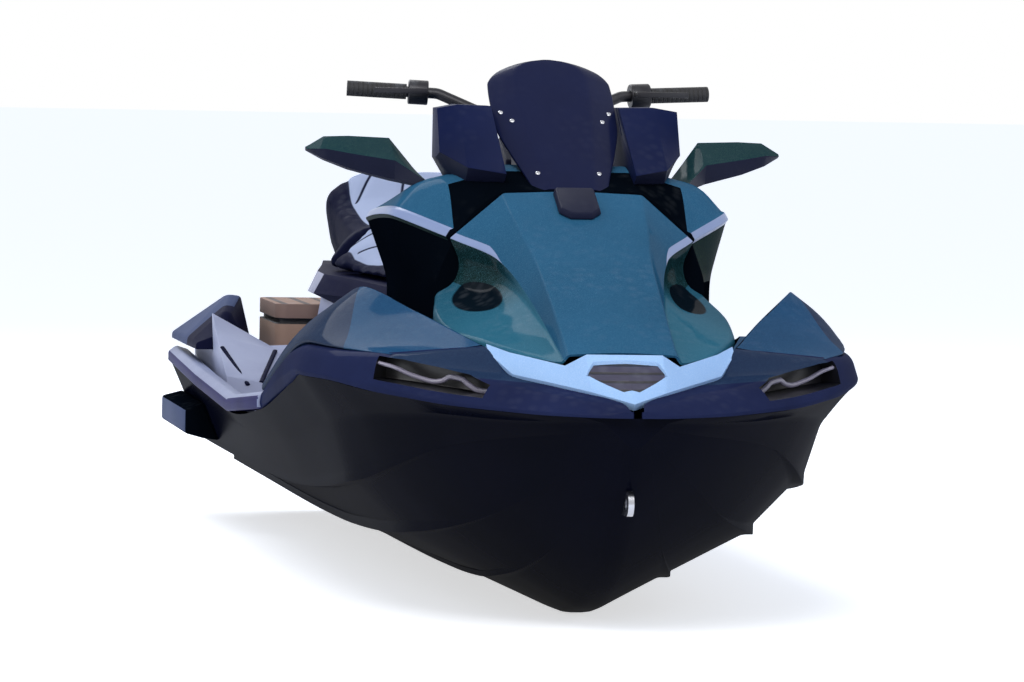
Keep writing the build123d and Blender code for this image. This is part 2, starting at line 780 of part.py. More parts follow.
with BuildPart() as dash:
    with BuildSketch(Plane.XZ.offset(-dash_half_width)):
        with BuildLine():
            Polyline(*DASH_FRONT, DASH_FACE[1], DASH_FACE[0], close=True)
        make_face()
    extrude(amount=2 * dash_half_width)
    add(upper_cowl.part, mode=Mode.SUBTRACT)
    add(visor.part, mode=Mode.SUBTRACT)
dash.part.label = "dash"

with BuildPart() as display:
    (low_x, low_z), (high_x, high_z) = DASH_FACE
    with BuildSketch(Plane(origin=((low_x + high_x) / 2 - seat_gap, 0, (low_z + high_z) / 2),
                           x_dir=(0, 1, 0), z_dir=(low_z - high_z, 0, high_x - low_x))):
        RectangleRounded(display_size[0], display_size[1], 10)
    extrude(amount=display_thick)
display.part.label = "display"

with BuildPart() as front_pods:
    loft([profile(y, [(low_x, low_z), (high_x, high_z), (back_x, high_z), (back_x, bottom_z),
                      (low_x - pod_undercut, bottom_z)])
          for y, low_x, low_z, high_x, high_z, back_x, bottom_z in POD], ruled=True)
    mirror(about=Plane.XZ)
    add(upper_cowl.part, mode=Mode.SUBTRACT)
    add(visor.part, mode=Mode.SUBTRACT)
front_pods.part.label = "front_pods"


def mirror_section(row):
    y, back, front, low, high = row
    tenth = (high - low) / 10
    return profile(y, [(back, low + tenth), (back + 8, low), (front - 12, low + tenth / 2),
                       (front, low + 5 * tenth), (back + 18, high), (back, high - tenth)])


with BuildPart() as mirrors:
    loft([mirror_section(row) for row in MIRROR], ruled=True)
    mirror(about=Plane.XZ)
    add(upper_cowl.part, mode=Mode.SUBTRACT)
    add(front_pods.part, mode=Mode.SUBTRACT)
mirrors.part.label = "mirrors"

with BuildPart() as mirror_glass:
    with BuildSketch(Plane.YZ.offset(MIRROR[2][1] - seat_gap)):
        with BuildLine():
            Polyline(*MIRROR_GLASS, close=True)
        make_face()
    extrude(amount=-glass_thick)
    mirror(about=Plane.XZ)
mirror_glass.part.label = "mirror_glass"

with BuildPart() as handlebar:
    add(rod(tuple(pivot - steer_axis * stem_depth), tuple(pivot + steer_axis * clamp_rise), stem_r))
    clamp = pivot + steer_axis * clamp_rise
    points = [Vector(*p) for p in BAR] + [Vector(x, -y, z) for x, y, z in reversed(BAR)]
    with BuildLine():
        path = FilletPolyline(*points, radius=bar_bend_r)
    with BuildSketch(Plane(origin=path @ 0, z_dir=path % 0)):
        Circle(bar_r)
    sweep()
    with Locations(Plane(origin=clamp, x_dir=(0, 1, 0), z_dir=steer_axis)):
        Box(110, 44, 34)
handlebar.part.label = "handlebar"

grip_line = Vector(*BAR[1]) - Vector(*BAR[0])


def along_grip(distance):
    """Point on the grip's line, measured inwards from the bar's end."""
    return Vector(*BAR[0]) + grip_line.normalized() * distance


with BuildPart() as grips:
    add(rod(tuple(along_grip(-6)), tuple(along_grip(grip_length)), grip_r))
    add(rod(tuple(along_grip(-1)), tuple(along_grip(grip_length + 1)), bar_r + seat_gap), mode=Mode.SUBTRACT)
    mirror(about=Plane.XZ)
grips.part.label = "grips"

switch_start = grip_length + 4
with BuildPart() as switch_pods:
    add(rod(tuple(along_grip(switch_start)), tuple(along_grip(switch_start + switch_length)), switch_r))
    add(rod(tuple(along_grip(switch_start - 1)), tuple(along_grip(switch_start + switch_length + 1)),
            bar_r + seat_gap), mode=Mode.SUBTRACT)
    mirror(about=Plane.XZ)
switch_pods.part.label = "switch_pods"

with BuildPart() as levers:
    with BuildSketch(Plane.XY.offset(BAR[0][2] - lever_drop)):
        with BuildLine():
            Polyline(*LEVER, close=True)
        make_face()
    extrude(amount=lever_thick)
    add(switch_pods.part, mode=Mode.SUBTRACT)
    mirror(about=Plane.XZ)
levers.part.label = "levers"

lid_pin_z = glove_z[1] + lid_thick / 2
with BuildPart() as glove_box:
    add(centred(glove_x, glove_half_width, (glove_z[0] + seat_gap, glove_z[1])))
    add(centred((glove_x[0] + glove_wall, glove_x[1] - glove_wall), glove_half_width - glove_wall,
                (glove_z[0] + glove_wall, glove_z[1] + 1)), mode=Mode.SUBTRACT)
    # Lugs that hold the lid's pin
    for side in (1, -1):
        lug_y = sorted((side * lid_lug_y[0], side * lid_lug_y[1]))
        add(block((glove_x[1] - glove_wall, lid_pin_x + lid_barrel_r), lug_y,
                  (glove_z[1] - 20, glove_z[1])))
        add(block((lid_pin_x - lid_barrel_r, lid_pin_x + lid_barrel_r), lug_y, (glove_z[1] - 20, lid_pin_z)))
        add(rod((lid_pin_x, lug_y[0], lid_pin_z), (lid_pin_x, lug_y[1], lid_pin_z), lid_barrel_r))
        add(rod((lid_pin_x, lug_y[0] - 1, lid_pin_z), (lid_pin_x, lug_y[1] + 1, lid_pin_z),
                lid_pin_r + pin_gap), mode=Mode.SUBTRACT)
glove_box.part.label = "glove_box"

with BuildPart() as glove_lid:
    add(centred(glove_x, glove_half_width, (glove_z[1] + seat_gap, glove_z[1] + lid_thick)))
    fillet(glove_lid.edges().filter_by(Axis.Z), 10)
    chamfer(glove_lid.edges().group_by(Axis.Z)[-1], 4)
    for side in (1, -1):
        notch_y = sorted((side * (lid_lug_y[0] - seat_gap * 4), side * (lid_lug_y[1] + seat_gap * 4)))
        add(block((glove_x[1] - lid_barrel_r - 2, glove_x[1] + 1), notch_y,
                  (glove_z[1], glove_z[1] + lid_thick + 1)), mode=Mode.SUBTRACT)
    add(centred((glove_x[1] - 2, lid_pin_x), lid_barrel_half, (lid_pin_z - 3, lid_pin_z + 3)))
    add(rod((lid_pin_x, -lid_barrel_half, lid_pin_z), (lid_pin_x, lid_barrel_half, lid_pin_z), lid_barrel_r))
    add(rod((lid_pin_x, -lid_lug_y[1], lid_pin_z), (lid_pin_x, lid_lug_y[1], lid_pin_z), lid_pin_r))
glove_lid.part.label = "glove_lid"

with BuildPart() as seat_base:
    loft([section(x, both([(foot_y, pedestal_z + seat_gap), (flank_y, flank_z), (top_y, top_z)]))
          for x, foot_y, flank_y, top_y, top_z in SEAT_BASE], ruled=True)
seat_base.part.label = "seat_base"


def cushion(table):
    """Cushion on the seat base, as high and wide as its table says."""
    with BuildPart() as body:
        loft([section(x, both([(low_y, at(SEAT_BASE, x)[-1] + cushion_gap), (wing_y, wing_z), (mid_y, mid_z),
                               (top_y, top_z)]))
              for x, low_y, wing_y, wing_z, mid_y, mid_z, top_y, top_z in stations(table, SEAT_BASE)],
             ruled=True)
    return body.part


with BuildPart() as front_seat:
    add(cushion(FRONT_SEAT))
front_seat.part.label = "front_seat"

with BuildPart() as rear_seat:
    add(cushion(REAR_SEAT))
rear_seat.part.label = "rear_seat"

with BuildPart() as grab_rail:
    back_x = SEAT_BASE[0][0] - seat_gap
    ends = [(back_x, rail_half_width, rail_z), (back_x - rail_reach, rail_half_width, rail_z + 15)]
    with BuildLine():
        path = FilletPolyline(*ends, *[(x, -y, z) for x, y, z in reversed(ends)], radius=36)
    with BuildSketch(Plane(origin=path @ 0, z_dir=path % 0)):
        Circle(rail_tube_r)
    sweep()
    add(seat_base.part, mode=Mode.SUBTRACT)
grab_rail.part.label = "grab_rail"

with BuildPart() as rear_pad:
    add(centred(pad_x, pad_half_width, (rear_deck_z + seat_gap, pad_z)))
    fillet(rear_pad.edges().filter_by(Axis.Z), 30)
    add(centred((pad_x[0] - 1, pad_x[1] + 1), pad_half_width + 1, pad_groove_z), mode=Mode.SUBTRACT)
    add(centred((pad_x[0] + pad_groove_depth, pad_x[1] - pad_groove_depth),
                pad_half_width - pad_groove_depth, (pad_groove_z[0] - 1, pad_groove_z[1] + 1)))
rear_pad.part.label = "rear_pad"

with BuildPart() as rear_arches:
    loft([section(x, [(foot_y, rear_deck_z + seat_gap), (outer_y, rear_deck_z + seat_gap),
                      (outer_y, outer_z),
                      (crest_y, crest_z), (inner_y, inner_z)])
          for x, foot_y, outer_y, outer_z, crest_y, crest_z, inner_y, inner_z in ARCH], ruled=True)
    mirror(about=Plane.XZ)
rear_arches.part.label = "rear_arches"

with BuildPart() as swim_platform:
    add(centred((platform_x, transom_x - seat_gap), platform_half_width, platform_z))
    fillet(swim_platform.edges().filter_by(Axis.Z).group_by(Axis.X)[0], platform_corner)
swim_platform.part.label = "swim_platform"


def mat_edge(x):
    """Inner and outer edge of the mat at x, beside the pedestal and the tray's wall."""
    return at(PEDESTAL, x)[1] + mat_gap, tray_y(x, floor_z) - mat_gap


with BuildPart() as footwell_mats:
    places = [row[0] for row in stations([at(PEDESTAL, x) for x in mat_x], PEDESTAL)]
    with BuildSketch(Plane.XY.offset(floor_z + seat_gap)):
        with BuildLine():
            Polyline(*[(x, mat_edge(x)[0]) for x in places],
                     *[(x, mat_edge(x)[1]) for x in reversed(mat_x)], close=True)
        make_face()
    extrude(amount=mat_thick)
    fillet(footwell_mats.edges().filter_by(Axis.Z).sort_by(Axis.Y)[-2:], mat_corner)
    mirror(about=Plane.XZ)
footwell_mats.part.label = "footwell_mats"


def sponson_section(row):
    x, chine_y, chine_z, side_y, side_z = row[0], row[5] + seat_gap, row[6], row[7] + seat_gap, row[8]
    return section(x, [(chine_y, chine_z), (chine_y + 40, sponson_z[0]), (sponson_y, sponson_z[0] + 12),
                       (sponson_y, sponson_z[1]), (side_y, side_z)])


with BuildPart() as sponsons:
    loft([sponson_section(row) for row in stations([at(HULL, x) for x in sponson_x], HULL)], ruled=True)
    mirror(about=Plane.XZ)
sponsons.part.label = "sponsons"

bore_r = pump_r - pump_wall
pump_back_x = pump_front_x - pump_length
vane_back_x = pump_back_x + 6
vane_front_x = vane_back_x + vane_length
impeller_x = pump_front_x - impeller_start


def spoke(r_in, r_out, thick):
    """Radial bar's outline, pointing up from the pump's line."""
    return [(-thick / 2, r_in), (thick / 2, r_in), (thick / 2, r_out), (-thick / 2, r_out)]


def spoke_section(x, turn, r_in, r_out, thick):
    with BuildSketch(Plane(origin=(x, 0, pump_z), x_dir=(0, cos(radians(turn)), sin(radians(turn))),
                           z_dir=(1, 0, 0))) as outline:
        with BuildLine():
            Polyline(*spoke(r_in, r_out, thick), close=True)
        make_face()
    return outline.sketch


with BuildPart() as pump_housing:
    add(turned(pump_back_x, pump_front_x - seat_gap, pump_r))
    add(turned(pump_front_x - flange_thick, pump_front_x - seat_gap, flange_r))
    add(turned(pump_back_x - 1, pump_front_x, bore_r), mode=Mode.SUBTRACT)
    for vane in range(vane_count):
        turn = vane * 360 / vane_count
        loft([spoke_section(vane_back_x, turn, hub_r - 2, bore_r + 2, vane_thick),
              spoke_section(vane_front_x, turn + 18, hub_r - 2, bore_r + 2, vane_thick)], ruled=True)
    add(turned(vane_back_x, vane_front_x, hub_r - 8, hub_r))
pump_housing.part.label = "pump_housing"

with BuildPart() as impeller:
    add(turned(impeller_x - impeller_length, impeller_x, hub_r, hub_r - 8))
    for blade in range(blade_count):
        start = blade * 360 / blade_count
        steps = 5
        loft([spoke_section(impeller_x - 4 - (impeller_length - 8) * step / (steps - 1),
                            start + blade_turn * step / (steps - 1), hub_r - 14, bore_r - running_gap,
                            blade_thick)
              for step in range(steps)], ruled=True)
    add(turned(impeller_x - impeller_length - 1, impeller_x + 1, shaft_r), mode=Mode.SUBTRACT)
impeller.part.label = "impeller"

with BuildPart() as drive_shaft:
    add(turned(impeller_x - impeller_length, engine_x[0] - running_gap, shaft_r))
drive_shaft.part.label = "drive_shaft"

cone_back_x = pump_back_x - cone_length
with BuildPart() as reduction_nozzle:
    add(turned(cone_back_x, pump_back_x - seat_gap, outlet_r, pump_r))
    add(turned(outlet_x, cone_back_x, outlet_r))
    for side in (1, -1):
        add(rod((nozzle_pivot_x, 0, pump_z + side * (outlet_r - nozzle_wall)),
                (nozzle_pivot_x, 0, pump_z + side * (nozzle_r + 4)), pivot_r))
    add(turned(cone_back_x, pump_back_x, outlet_r - nozzle_wall, pump_r - nozzle_wall), mode=Mode.SUBTRACT)
    add(turned(outlet_x - 1, cone_back_x, outlet_r - nozzle_wall), mode=Mode.SUBTRACT)
reduction_nozzle.part.label = "reduction_nozzle"

with BuildPart() as steering_nozzle:
    add(turned(nozzle_x[0], nozzle_x[1], nozzle_back_r, nozzle_r))
    for side in (1, -1):
        add(rod((bucket_pivot_x, 0, pump_z), (bucket_pivot_x, side * (bucket_half_width + 4), pump_z),
                pivot_r))
    add(turned(nozzle_x[0] - 1, nozzle_x[1] + 1, nozzle_back_r - nozzle_wall, nozzle_r - nozzle_wall),
        mode=Mode.SUBTRACT)
    add(rod((nozzle_pivot_x, 0, pump_z - 100), (nozzle_pivot_x, 0, pump_z + 100), pivot_r + pin_gap),
        mode=Mode.SUBTRACT)
steering_nozzle.part.label = "steering_nozzle"


def on_bucket(turn, r):
    """Point on the bucket's side at an angle up from straight back."""
    return (bucket_pivot_x - r * cos(radians(turn)), pump_z + r * sin(radians(turn)))


with BuildPart() as reverse_bucket:
    first, last = bucket_start, bucket_start + bucket_span
    middle = (first + last) / 2
    outside = (on_bucket(first, bucket_r), on_bucket(middle, bucket_r), on_bucket(last, bucket_r))
    with BuildSketch(Plane.XZ.offset(-bucket_half_width)):
        with BuildLine():
            ThreePointArc(*outside)
            Line(on_bucket(last, bucket_r), on_bucket(last, bucket_r - bucket_wall))
            ThreePointArc(on_bucket(last, bucket_r - bucket_wall), on_bucket(middle, bucket_r - bucket_wall),
                          on_bucket(first, bucket_r - bucket_wall))
            Line(on_bucket(first, bucket_r - bucket_wall), on_bucket(first, bucket_r))
        make_face()
    extrude(amount=2 * bucket_half_width)
    for side_y in (-bucket_half_width, bucket_half_width - bucket_wall):
        with BuildSketch(Plane.XZ.offset(-side_y)):
            with BuildLine():
                ThreePointArc(*outside)
                Polyline(on_bucket(last, bucket_r), on_bucket(last + 60, ear_r),
                         on_bucket(middle + 180, ear_r), on_bucket(first - 60, ear_r),
                         on_bucket(first, bucket_r))
            make_face()
        extrude(amount=-bucket_wall)
    add(rod((bucket_pivot_x, -200, pump_z), (bucket_pivot_x, 200, pump_z), pivot_r + pin_gap),
        mode=Mode.SUBTRACT)
reverse_bucket.part.label = "reverse_bucket"

with BuildPart() as ride_plate:
    add(centred(plate_x, plate_half_width, (0, plate_seat_z)))
    add(centred((plate_x[0] - 1, plate_x[1] - plate_rim), plate_half_width - plate_rim,
                (plate_thick, plate_seat_z + 1)), mode=Mode.SUBTRACT)
ride_plate.part.label = "ride_plate"

with BuildPart() as intake_grate:
    rim_x = (intake_x[0] + seat_gap, intake_x[1] - seat_gap)
    rim_y = intake_half_width - seat_gap
    add(centred(rim_x, rim_y, grate_z))
    add(centred((rim_x[0] + grate_rim, rim_x[1] - grate_rim), rim_y - grate_rim,
                (grate_z[0] - 1, grate_z[1] + 1)), mode=Mode.SUBTRACT)
    for bar in range(grate_bars):
        bar_y = (bar - (grate_bars - 1) / 2) * 2 * rim_y / (grate_bars + 1)
        add(block(rim_x, (bar_y - grate_bar / 2, bar_y + grate_bar / 2), grate_z))
intake_grate.part.label = "intake_grate"


def eye(x, y, z, foot_x):
    """Plate eye standing along the craft, its hole across, on a foot at foot_x."""
    with BuildPart() as piece:
        with BuildSketch(Plane.XZ.offset(-(y - eye_thick / 2))):
            with Locations((x, z)):
                Circle(eye_r)
            with Locations(((x + foot_x) / 2, z)):
                Rectangle(abs(foot_x - x), 2 * eye_r)
            with Locations((x, z)):
                Circle(eye_hole_r, mode=Mode.SUBTRACT)
        extrude(amount=-eye_thick)
    return piece.part


with BuildPart() as bow_eye:
    add(eye(bow_eye_x, 0, bow_eye_z, bow_eye_x - eye_reach))
    add(hull.part, mode=Mode.SUBTRACT)
bow_eye.part.label = "bow_eye"

with BuildPart() as stern_eyes:
    for side in (1, -1):
        add(eye(transom_x - eye_r, side * stern_eye_y, stern_eye_z, transom_x - seat_gap))
stern_eyes.part.label = "stern_eyes"



def light_guide(side):
    """Pale guide on the housing's face, swinging up and down along it."""
    with BuildPart() as guide:
        loft([lamp_section(row, side, housing_front - 1, guide_front,
                           (row[2] + row[3]) / 2 + row[4] - guide_half,
                           (row[2] + row[3]) / 2 + row[4] + guide_half) for row in LAMP], ruled=True)
    return guide.part


with BuildPart() as headlamps:
    for side in (1, -1):
        loft([lamp_section(row, side, seat_gap - lamp_depth, housing_front, row[2] + seat_gap,
                           row[3] - seat_gap) for row in LAMP], ruled=True)
        add(light_guide(side))
    add(bow_bumper.part, mode=Mode.SUBTRACT)
headlamps.part.label = "headlamps"

for piece in (hull, deck, footwell_ramps, engine_block, gunwales, bow_bumper, nose_trim, nose_vent, fenders,
              hood, hood_brackets, hood_latch, storage_bin, upper_cowl, console, visor, dash, display,
              front_pods, mirrors, mirror_glass, handlebar, grips, switch_pods, levers, glove_box, glove_lid,
              seat_base, front_seat, rear_seat, grab_rail, rear_pad, rear_arches, swim_platform,
              footwell_mats, sponsons, pump_housing, impeller, drive_shaft, reduction_nozzle,
              steering_nozzle, reverse_bucket, ride_plate, intake_grate, bow_eye, stern_eyes, headlamps):
    export_step(piece.part, f"parts/{piece.part.label}.step")
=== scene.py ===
# %% [markdown]
# # A three-seat personal watercraft
# The measured model is loaded first and never moved. Where a piece is a flat-sided working part, its own
# mesh stays and only gets a finish. Where the real thing is a flowing moulding, a new surface is worked
# out along the same lines and stands for the measured piece.

import bmesh
import bpy
import numpy as np
from mathutils import Matrix, Vector


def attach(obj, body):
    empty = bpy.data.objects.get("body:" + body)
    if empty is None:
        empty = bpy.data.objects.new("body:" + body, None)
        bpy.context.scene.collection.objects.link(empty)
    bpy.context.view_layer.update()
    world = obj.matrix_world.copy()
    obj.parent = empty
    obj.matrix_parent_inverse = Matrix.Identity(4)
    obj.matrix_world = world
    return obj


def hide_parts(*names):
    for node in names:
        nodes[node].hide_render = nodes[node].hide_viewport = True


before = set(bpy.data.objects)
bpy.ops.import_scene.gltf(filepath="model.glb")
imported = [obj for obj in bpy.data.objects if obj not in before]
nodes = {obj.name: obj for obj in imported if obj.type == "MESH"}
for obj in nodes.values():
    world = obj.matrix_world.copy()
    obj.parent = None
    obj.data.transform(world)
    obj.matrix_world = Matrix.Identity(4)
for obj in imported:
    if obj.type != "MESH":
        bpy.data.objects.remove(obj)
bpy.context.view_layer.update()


def put(name, data):
    """A new object with this data, in the scene."""
    made = bpy.data.objects.new(name, data)
    bpy.context.scene.collection.objects.link(made)
    return made


# %% [markdown]
# ## Where the picture is taken from
# The photograph was taken low down, about thirteen metres off the bow and a little to starboard, so the
# craft shows its nose, its starboard side at a grazing angle and almost no perspective. A wide lens close
# by would make the nose too large. A long lens from the same place gives the same angle, with the craft
# filling the frame. The craft also leans a degree in the picture, which is the camera's roll here,
# because the craft itself stays upright.

# %% Camera
EYE = Vector((14.2293, -2.2843, 1.2755))
AIM = Vector((0.9, -0.113, 0.567))
PHOTO_ROLL = np.radians(1.137)
PHOTO_FOCAL = 1529.056          # of the whole photograph, in its pixels
PHOTO_WIDE = 1024               # its width, in pixels
ENLARGED = 4.15                 # how many times larger than in the photograph the craft shows


def aimed(place, target):
    """Where something stands at a place and looks at a target, with its own up kept up."""
    return Matrix.Translation(place) @ (target - place).to_track_quat("-Z", "Y").to_matrix().to_4x4()


camera_data = bpy.data.cameras.new("camera")
camera_data.sensor_width = 36.0
camera_data.lens = PHOTO_FOCAL * ENLARGED / PHOTO_WIDE * camera_data.sensor_width
camera_data.clip_start, camera_data.clip_end = 0.5, 200.0
camera = put("camera", camera_data)
camera.matrix_world = aimed(EYE, AIM) @ Matrix.Rotation(PHOTO_ROLL, 4, "Z")
bpy.context.scene.camera = camera
bpy.context.scene.view_settings.view_transform = "Standard"
print("lens", round(camera_data.lens, 1), "mm from", round((AIM - EYE).length, 2), "m")

# %% [markdown]
# ## The studio
# A pale floor, a pale surround and four large soft lamps. The camera sees the surround as white, and so
# do mirrors and glossy paint, while the light that falls on the craft stays at a plain level. A picture of
# a real sky could light the craft too, but its scenery would show in the paint.

# %% Colours are written as they look on a screen, 0 to 255
def tone(red, green, blue):
    """Screen colour as the linear colour that a shader works with: the screen's curve undone."""
    c = np.array([red, green, blue]) / 255.0
    linear = np.where(c <= 0.04045, c / 12.92, ((c + 0.055) / 1.055) ** 2.4)
    return (*linear.tolist(), 1.0)


# %% Short ways to add and join shader nodes
def node(tree, kind, inputs=None, **settings):
    """Adds a shader node, sets it, and joins or fills its inputs."""
    made = tree.nodes.new(kind)
    for key, value in settings.items():
        setattr(made, key, value)
    for key, value in (inputs or {}).items():
        if isinstance(value, bpy.types.NodeSocket):
            tree.links.new(value, made.inputs[key])
        else:
            made.inputs[key].default_value = value
    return made


def empty_tree(owner):
    """Shader tree of a world or a material, with nothing in it yet."""
    owner.use_nodes = True
    owner.node_tree.nodes.clear()
    return owner.node_tree


def worked(tree, operation, *values, **settings):
    """Result of one Math node."""
    return node(tree, "ShaderNodeMath", dict(enumerate(values)), operation=operation, **settings).outputs[0]


def between(tree, value, low, high, **settings):
    """0 where a value is low, 1 where it is high, and held outside."""
    limits = {"Value": value, "From Min": low, "From Max": high}
    return node(tree, "ShaderNodeMapRange", limits, **settings).outputs[0]


def blend(tree, share, first, second):
    """Colour that goes from the first to the second as share goes from 0 to 1."""
    return node(tree, "ShaderNodeMix", {"Factor": share, 6: first, 7: second}, data_type="RGBA").outputs[2]


# %% Surround
def seen_directly(tree):
    """1 for what the camera, a reflection or a pane of glass sees, and 0 for light that falls on things."""
    path = node(tree, "ShaderNodeLightPath").outputs
    first = worked(tree, "ADD", path["Is Camera Ray"], path["Is Glossy Ray"], use_clamp=True)
    return worked(tree, "ADD", first, path["Is Transmission Ray"], use_clamp=True)


world = bpy.data.worlds.new("studio surround")
bpy.context.scene.world = world
tree = empty_tree(world)
place = node(tree, "ShaderNodeTexCoord")
height = node(tree, "ShaderNodeSeparateXYZ", {0: place.outputs["Generated"]})
sky = node(tree, "ShaderNodeValToRGB", {0: height.outputs["Z"]})
sky.color_ramp.elements[0].position, sky.color_ramp.elements[0].color = 0.0, tone(150, 158, 175)
sky.color_ramp.elements[1].position, sky.color_ramp.elements[1].color = 0.75, tone(205, 220, 245)
lit = node(tree, "ShaderNodeBackground", {"Color": sky.outputs["Color"], "Strength": 0.62})
white = node(tree, "ShaderNodeBackground", {"Color": (1, 1, 1, 1), "Strength": 1.0})
both_skies = node(tree, "ShaderNodeMixShader",
                  {0: seen_directly(tree), 1: lit.outputs[0], 2: white.outputs[0]})
node(tree, "ShaderNodeOutputWorld", {"Surface": both_skies.outputs[0]})

# %% Floor
floor_data = bpy.data.meshes.new("floor")
floor_data.from_pydata([(-60, -60, 0), (60, -60, 0), (60, 60, 0), (-60, 60, 0)], [], [(0, 1, 2, 3)])
floor = put("floor", floor_data)
floor_paint = bpy.data.materials.new("pale floor")
tree = empty_tree(floor_paint)
matt = node(tree, "ShaderNodeBsdfDiffuse", {"Color": tone(236, 238, 242)})
glow = node(tree, "ShaderNodeEmission", {"Color": (1, 1, 1, 1), "Strength": 0.63})
lifted = node(tree, "ShaderNodeAddShader", {0: matt.outputs[0], 1: glow.outputs[0]})
mixed = node(tree, "ShaderNodeMixShader", {0: seen_directly(tree), 1: matt.outputs[0], 2: lifted.outputs[0]})
node(tree, "ShaderNodeOutputMaterial", {"Surface": mixed.outputs[0]})
floor_data.materials.append(floor_paint)


# %% Soft lamps
def soft_lamp(name, place, target, size, power, colour):
    """Square area lamp at a place, turned to a target."""
    data = bpy.data.lights.new(name, "AREA")
    data.shape, data.size, data.energy, data.color = "SQUARE", size, power, colour
    put(name, data).matrix_world = aimed(Vector(place), Vector(target))


soft_lamp("key_lamp", (6.5, -1.5, 6.5), (0.4, 0, 0.5), 4.0, 400, (1.0, 0.98, 0.95))
soft_lamp("side_lamp", (2.0, -6.5, 3.5), (0.0, 0, 0.5), 4.0, 90, (0.95, 0.97, 1.0))
soft_lamp("fill_lamp", (5.5, 5.0, 3.5), (0.4, 0, 0.5), 4.5, 120, (0.88, 0.93, 1.0))
soft_lamp("back_lamp", (-5.0, -2.0, 5.0), (-0.6, 0, 0.5), 4.0, 260, (0.93, 0.96, 1.0))
print("lamps", len(bpy.data.lights))

# %% [markdown]
# ## Effects that several finishes share
# Moulded plastic has a fine grain, gel coat a slow change of tone, outdoor craft a film of dried spray on
# what faces up, and paint has flakes. Images could carry these, but a pattern worked out from the piece's
# own coordinates needs no unwrapping and stays fine at any distance. Each is a shader node group with
# named inputs, built once here and placed in each material below with its own values.

# %% A helper for node groups
def new_group(name, inputs, outputs):
    """Empty shader group with its sockets: (name, kind, start value)."""
    tree = bpy.data.node_groups.new(name, "ShaderNodeTree")
    for label, kind, value in inputs:
        socket = tree.interface.new_socket(label, in_out="INPUT", socket_type=kind)
        socket.default_value = value
    for label, kind in outputs:
        tree.interface.new_socket(label, in_out="OUTPUT", socket_type=kind)
    return tree, tree.nodes.new("NodeGroupInput").outputs, tree.nodes.new("NodeGroupOutput")


def spaced(values):
    """Values under the names of sockets: an underscore stands for a space."""
    return {label.replace("_", " "): value for label, value in values.items()}


def join(tree, target, **sockets):
    """Joins sockets to the inputs of a shader, or of a group's output node, by name."""
    for label, socket in spaced(sockets).items():
        tree.links.new(socket, target.inputs[label])


def textured(tree, kind, inputs, **settings):
    """Outputs of a texture laid over the piece in its own coordinates."""
    spot = node(tree, "ShaderNodeTexCoord")
    laid = {"Vector": spot.outputs["Object"], **inputs}
    return node(tree, "ShaderNodeTex" + kind, laid, **settings).outputs


FLOAT, COLOUR, VECTOR = "NodeSocketFloat", "NodeSocketColor", "NodeSocketVector"

# %% Moulded grain
grain, given, out = new_group("moulded grain", [("Scale", FLOAT, 900.0), ("Depth", FLOAT, 0.0002)],
                              [("Normal", VECTOR), ("Mask", FLOAT)])
cells = textured(grain, "Noise", {"Scale": given["Scale"], "Detail": 2.0, "Roughness": 0.6})["Fac"]
lump = node(grain, "ShaderNodeBump", {"Strength": 0.6, "Distance": given["Depth"], "Height": cells})
join(grain, out, Normal=lump.outputs["Normal"], Mask=cells)

# %% Slow change of tone, as in gel coat and sun-worn plastic
mottle, given, out = new_group("slow mottle", [("Colour", COLOUR, (0.5, 0.5, 0.5, 1)),
                                               ("Second colour", COLOUR, (0.4, 0.4, 0.4, 1)),
                                               ("Scale", FLOAT, 3.0)], [("Colour", COLOUR), ("Mask", FLOAT)])
cloud = textured(mottle, "Noise", {"Scale": given["Scale"], "Detail": 4.0, "Roughness": 0.55})
spread = between(mottle, cloud["Fac"], 0.35, 0.68)
join(mottle, out, Colour=blend(mottle, spread, given["Colour"], given["Second colour"]), Mask=spread)

# %% Dried spray and dust on what faces up
film, given, out = new_group("dried spray", [("Colour", COLOUR, (0.5, 0.5, 0.5, 1)),
                                             ("Film colour", COLOUR, tone(190, 196, 205)),
                                             ("Amount", FLOAT, 0.15), ("Roughness", FLOAT, 0.4)],
                             [("Colour", COLOUR), ("Roughness", FLOAT), ("Mask", FLOAT)])
facing = node(film, "ShaderNodeSeparateXYZ", {0: node(film, "ShaderNodeNewGeometry").outputs["Normal"]})
level = between(film, facing.outputs["Z"], 0.1, 0.95)
ring = between(film, textured(film, "Voronoi", {"Scale": 42.0})["Distance"], 0.55, 0.2)
thin = between(film, textured(film, "Noise", {"Scale": 5.0, "Detail": 5.0})["Fac"], 0.42, 0.7)
upward = worked(film, "MULTIPLY", worked(film, "MULTIPLY", ring, thin), level)
share = worked(film, "MULTIPLY", upward, given["Amount"])
dull = worked(film, "MULTIPLY_ADD", share, 0.5, given["Roughness"], use_clamp=True)
join(film, out, Colour=blend(film, share, given["Colour"], given["Film colour"]), Roughness=dull, Mask=share)

# %% Metal flakes under clear lacquer
flakes, given, out = new_group("paint flakes", [("Colour", COLOUR, (0.03, 0.14, 0.19, 1)),
                                                ("Flake colour", COLOUR, (0.2, 0.45, 0.5, 1)),
                                                ("Scale", FLOAT, 1400.0)],
                               [("Colour", COLOUR), ("Mask", FLOAT)])
chips = textured(flakes, "Voronoi", {"Scale": given["Scale"]})
bright = node(flakes, "ShaderNodeSeparateColor", {0: chips["Color"]})
few = node(flakes, "ShaderNodeMapRange", {"Value": bright.outputs[0], "From Min": 0.72, "From Max": 1.0,
                                          "To Max": 0.5}).outputs[0]
join(flakes, out, Colour=blend(flakes, few, given["Colour"], given["Flake colour"]), Mask=few)

